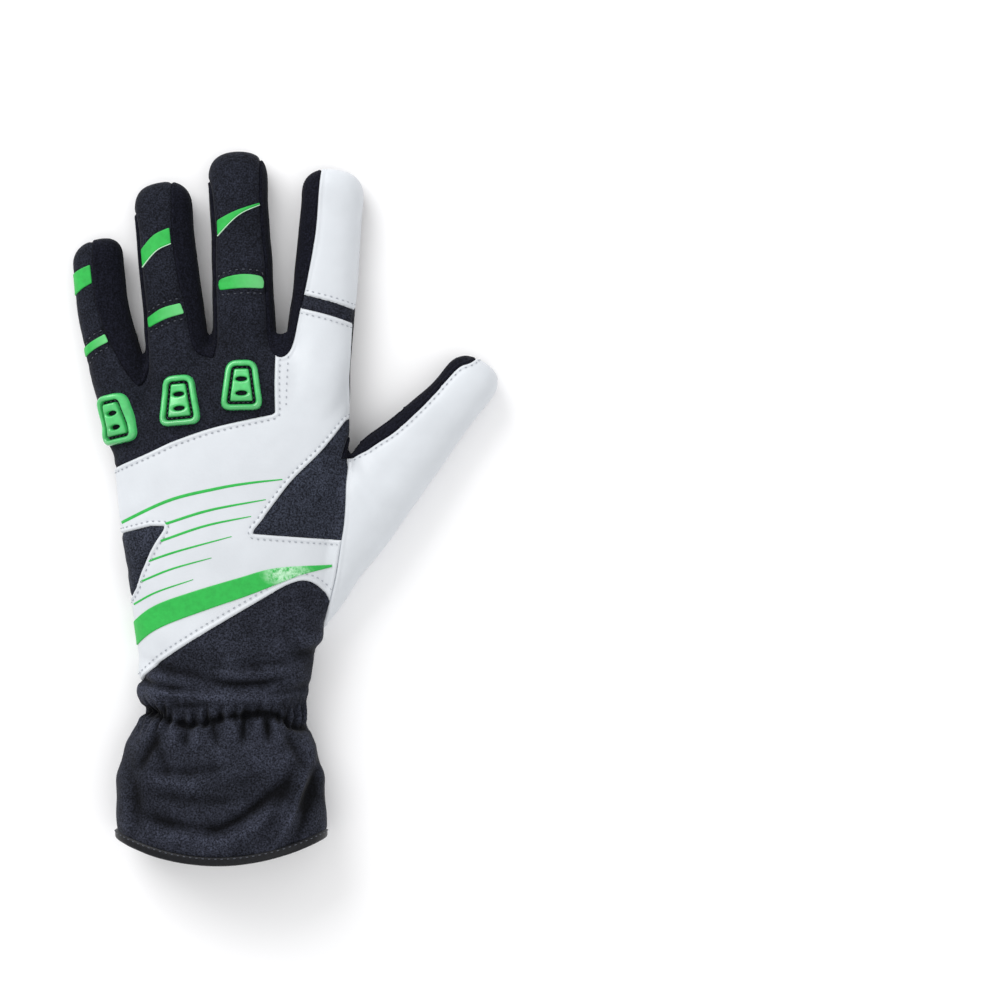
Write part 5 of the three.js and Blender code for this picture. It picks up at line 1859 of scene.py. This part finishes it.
class GLOVE_OT_guards(bpy.types.Operator):
    """Seats a moulded guard with a rim and a slotted core over each of three knuckles"""

    bl_idname = "glove.guards"
    bl_label = "Knuckle guards"

    def execute(self, context):
        height = context.scene.glove_sizes.guard_height / MM
        stitches = []
        for finger, place in GUARD_PLACES.items():
            seat = GuardSeat(place)
            parts = (("rim", guard_rim, height), ("core", guard_core, height * CORE["height"]))
            for kind, shape, rise in parts:
                node = f"guard_{kind}_{finger}"
                points, faces = turned_out(*shape(seat, rise))
                piece(node + "_moulding", points, faces, finish("rubber"), "guard_rubber", [node])
            slit = guard_ring(GUARD["rim"] + GUARD["slit"] / 2)
            row = seat.over_cloth(np.vstack([slit, slit[:1]]), [GUARD_SEWING["above"]] * (len(slit) + 1))
            ups = np.tile(seat.axes[:, 2], (len(row), 1))
            sizes = [GUARD_SEWING[name] for name in ("pitch", "long", "thick")]
            stitches.append(sewn(row, ups, *sizes))
        piece("guard_stitches", *joined(stitches), finish("dark_thread"))
        return {"FINISHED"}


class GLOVE_OT_grips(bpy.types.Operator):
    """Prints silicone grips under the palm and the fingers"""

    bl_idname = "glove.grips"
    bl_label = "Silicone grips"

    def execute(self, context):
        height = context.scene.glove_sizes.grip_height / MM
        for name, outline in (("palm", GRIP_MAIN), ("thenar", GRIP_THENAR)):
            points, faces = laid_on(within(outline), ["palm_panel"], height, 1.0)
            piece(f"grip_{name}_print", points, faces, finish("silicone"), "silicone", [f"grip_{name}"])
        for digit in DIGITS:
            rows = THUMB_PADS if digit == "thumb" else PADS
            outlines = []
            for start, end, half in rows:
                corners = ((-half, start), (half, start), (half, end), (-half, end))
                outlines.append(rounded([on_digit(digit, *corner) for corner in corners], 2.5))
            for (_, end, _), (start, _, _) in zip(rows, rows[1:]):
                low, high = end - 0.03, start + 0.03
                bridge = ((0.11, low), (0.29, low), (-0.11, high), (-0.29, high))
                outlines.append(np.array([on_digit(digit, *corner) for corner in bridge]))

            def marked(points, outlines=outlines):
                return np.maximum.reduce([inside_distance(points, outline) for outline in outlines])

            points, faces = laid_on(marked, ["palm_panel"], height, 0.7)
            piece(f"grip_{digit}_print", points, faces, finish("silicone"), "silicone", [f"grip_{digit}"])
        return {"FINISHED"}


# Rows of stitches beside seams: the sewn panel, the panels across the seam, and the distance from it
SEWN = [
    ("leather_panel", ("knuckle_panel", "web_panel", "ulnar_inset"), SEWING_GAP),
    ("leather_panel", ("wrist_panel",), 2.8),
    ("leather_panel", ("index_joint_band",), SEWING_GAP),
    ("index_tip_panel", ("index_joint_band",), SEWING_GAP),
    ("thumb_panel", ("side_strip_thumb",), 1.7),
]
SECOND_ROW = [(0.236, 0.815), (0.238, 0.88), (0.243, 0.957)]  # beside the knuckle panel's side


class GLOVE_OT_sewing(bpy.types.Operator):
    """Sews rows of stitches beside the seams and the green inserts"""

    bl_idname = "glove.sewing"
    bl_label = "Stitching"

    def execute(self, context):
        made = skin()
        rows = []
        for panel, others, distance in SEWN:
            used, faces = made.panel(panel)
            value = nearest_distance(made.points[used], made.seam(panel, others))
            rows += level_lines(made.points[used], made.normals[used], faces, value, distance)
        rows.append(over_back(hand_curve(*SECOND_ROW)))
        self.sew(context, "stitches_leather", rows, "thread")
        rows = [over_back(line) for finger in ("pinky", "ring", "middle") for line in joint_sewing(finger)]
        self.sew(context, "stitches_cloth", rows, "dark_thread")
        return {"FINISHED"}

    def sew(self, context, name, rows, thread):
        """Makes one piece of several rows of stitches."""
        sizes = context.scene.glove_sizes
        lengths = (sizes.stitch_pitch / MM, sizes.stitch_length / MM, sizes.thread / MM)
        made = [sewn(*row, *lengths) for row in rows]
        made = [stitches for stitches in made if stitches is not None]
        require(made, f"{name} has no stitches")
        piece(name, *joined(made), finish(thread))


PHOTO_MIDDLE = (113.4, 151.2)  # the middle of the view in the glove's own layout, in millimetres
PHOTO_WIDTH = 0.42  # metres across the view
CAMERA_HEIGHT = 1.4
GLOVE_MIDDLE = 0.012  # height of the outline that fills the view
FLOOR = 3.0  # half the floor's width, in metres
FLOOR_DROP = 0.0002
WORLD_LIGHT = 0.78
# Soft lamps: the place and width in metres, and the power in watts
LIGHTS = {
    "key": ((-0.8, 1.1, 0.85), 1.2, 19.0),
    "fill": ((0.8, -0.3, 1.2), 1.2, 3.4),
    "rim": ((0.1, -1.0, 0.8), 0.8, 1.0),
}


class GLOVE_OT_stage(bpy.types.Operator):
    """Sets the pale floor, the soft studio lights and the camera straight above"""

    bl_idname = "glove.stage"
    bl_label = "Stage"

    def execute(self, context):
        scene = context.scene
        mesh = bpy.data.meshes.new("floor")
        corners = [(-FLOOR, -FLOOR, 0), (FLOOR, -FLOOR, 0), (FLOOR, FLOOR, 0), (-FLOOR, FLOOR, 0)]
        mesh.from_pydata(corners, [], [(0, 1, 2, 3)])
        mesh.materials.append(finish("floor"))
        floor = bpy.data.objects.new("floor", mesh)
        floor.location.z = -FLOOR_DROP
        scene.collection.objects.link(floor)
        world = bpy.data.worlds.new("studio")
        world.use_nodes = True
        background = world.node_tree.nodes["Background"]
        background.inputs["Color"].default_value = (1, 1, 1, 1)
        background.inputs["Strength"].default_value = WORLD_LIGHT
        scene.world = world
        for name, (place, size, power) in LIGHTS.items():
            light = bpy.data.lights.new(name, "AREA")
            light.size = size
            light.energy = power
            lamp = bpy.data.objects.new(name, light)
            lamp.location = place
            lamp.rotation_euler = (-Vector(place)).to_track_quat("-Z", "Y").to_euler()
            scene.collection.objects.link(lamp)
        camera = bpy.data.objects.new("camera", bpy.data.cameras.new("camera"))
        middle = in_row_frame(np.array([*PHOTO_MIDDLE, 0.0]))
        camera.location = (middle[0], middle[1], CAMERA_HEIGHT)
        camera.data.sensor_width = 36
        camera.data.lens = 36 * (CAMERA_HEIGHT - GLOVE_MIDDLE) / PHOTO_WIDTH
        scene.collection.objects.link(camera)
        scene.camera = camera
        scene.view_settings.view_transform = "Standard"
        return {"FINISHED"}


class GLOVE_PT_panel(bpy.types.Panel):
    """Lists the glove's steps, sizes and colours"""

    bl_idname = "GLOVE_PT_panel"
    bl_label = "Karting Glove"
    bl_space_type = "VIEW_3D"
    bl_region_type = "UI"
    bl_category = "Glove"

    def draw(self, context):
        for operator in OPERATORS:
            self.layout.operator(operator.bl_idname)
        for group in (context.scene.glove_sizes, context.scene.glove_colours):
            box = self.layout.box()
            for name in group.__annotations__:
                box.prop(group, name)


def length(name, description, default):
    settings = {"min": 0.0, "unit": "LENGTH", "precision": 5}
    return FloatProperty(name=name, description=description, default=default, **settings)


def colour(name, description, code):
    settings = {"min": 0.0, "max": 1.0, "size": 3, "subtype": "COLOR"}
    return FloatVectorProperty(name=name, description=description, default=srgb(code), **settings)


class GloveSizes(bpy.types.PropertyGroup):
    wall: length("Wall", "Thickness of the lined cloth and leather", 0.0016)
    cloth_step: length("Cloth step", "Spacing of the points that the cloth is modelled with", 0.001)
    seam_gap: length("Seam gap", "Space between two panels at their seam", 0.0002)
    insert_height: length("Insert height", "Thickness of the green inserts", 0.00045)
    guard_height: length("Guard height", "Height of the knuckle guards over the cloth", 0.0027)
    grip_height: length("Grip height", "Thickness of the silicone prints", 0.00095)
    stitch_pitch: length("Stitch pitch", "From one stitch to the next", 0.0026)
    stitch_length: length("Stitch length", "Length of thread that shows in a stitch", 0.00125)
    thread: length("Thread", "Thickness of the sewing thread", 0.00042)


class GloveColours(bpy.types.PropertyGroup):
    leather: colour("Leather", "White leather of the back, thumb and index finger", "#CDD1D6")
    softshell: colour("Softshell", "Black cloth of the cuff and inset panels", "#1E2028")
    inset_cloth: colour("Inset cloth", "Black cloth of the two panels set into the white leather", "#252831")
    knuckle_cloth: colour("Knuckle cloth", "Black cloth of the knuckles and finger backs", "#191B23")
    side_cloth: colour("Side cloth", "Stretch cloth between the fingers", "#101119")
    suede: colour("Suede", "Palm side", "#12131A")
    silicone: colour("Silicone", "Grip prints", "#090B12")
    green: colour("Green", "Inserts, band and lines", "#27AA45")
    # Painted highlight at the right ends of the joint inserts.
    joint_end_highlight: colour("Pale green", "Right ends of the inserts over the middle joints", "#8FDC9E")
    # Painted highlights: the pale patch on the band and the pale lines along the tip inserts' lower edges.
    pale_highlight_colour: colour("Highlight green", "Painted highlight patch on the band, and thin lines beside inserts", "#C4E9CB")
    guard: colour("Guard green", "Moulded knuckle guards", "#47BD68")
    binding: colour("Binding", "Tape round the mouth", "#0F1014")
    pale_thread: colour("Pale thread", "Stitches on the white leather", "#A8ACB4")
    dark_thread: colour("Dark thread", "Stitches on the black cloth", "#4A4D57")
    floor: colour("Floor", "Studio paper", "#FCFCFD")


OPERATORS = [
    GLOVE_OT_panels,
    GLOVE_OT_hem,
    GLOVE_OT_inserts,
    GLOVE_OT_guards,
    GLOVE_OT_grips,
    GLOVE_OT_sewing,
    GLOVE_OT_stage,
]
CLASSES = [GloveSizes, GloveColours, *OPERATORS, GLOVE_PT_panel]


def register():
    for item in CLASSES:
        bpy.utils.register_class(item)
    bpy.types.Scene.glove_sizes = PointerProperty(type=GloveSizes)
    bpy.types.Scene.glove_colours = PointerProperty(type=GloveColours)


def unregister():
    del bpy.types.Scene.glove_sizes
    del bpy.types.Scene.glove_colours
    for item in reversed(CLASSES):
        bpy.utils.unregister_class(item)


def main():
    register()
    bpy.ops.glove.panels()
    bpy.ops.glove.hem()
    bpy.ops.glove.inserts()
    bpy.ops.glove.guards()
    bpy.ops.glove.grips()
    bpy.ops.glove.sewing()
    bpy.ops.glove.stage()


if __name__ == "__main__":
    main()
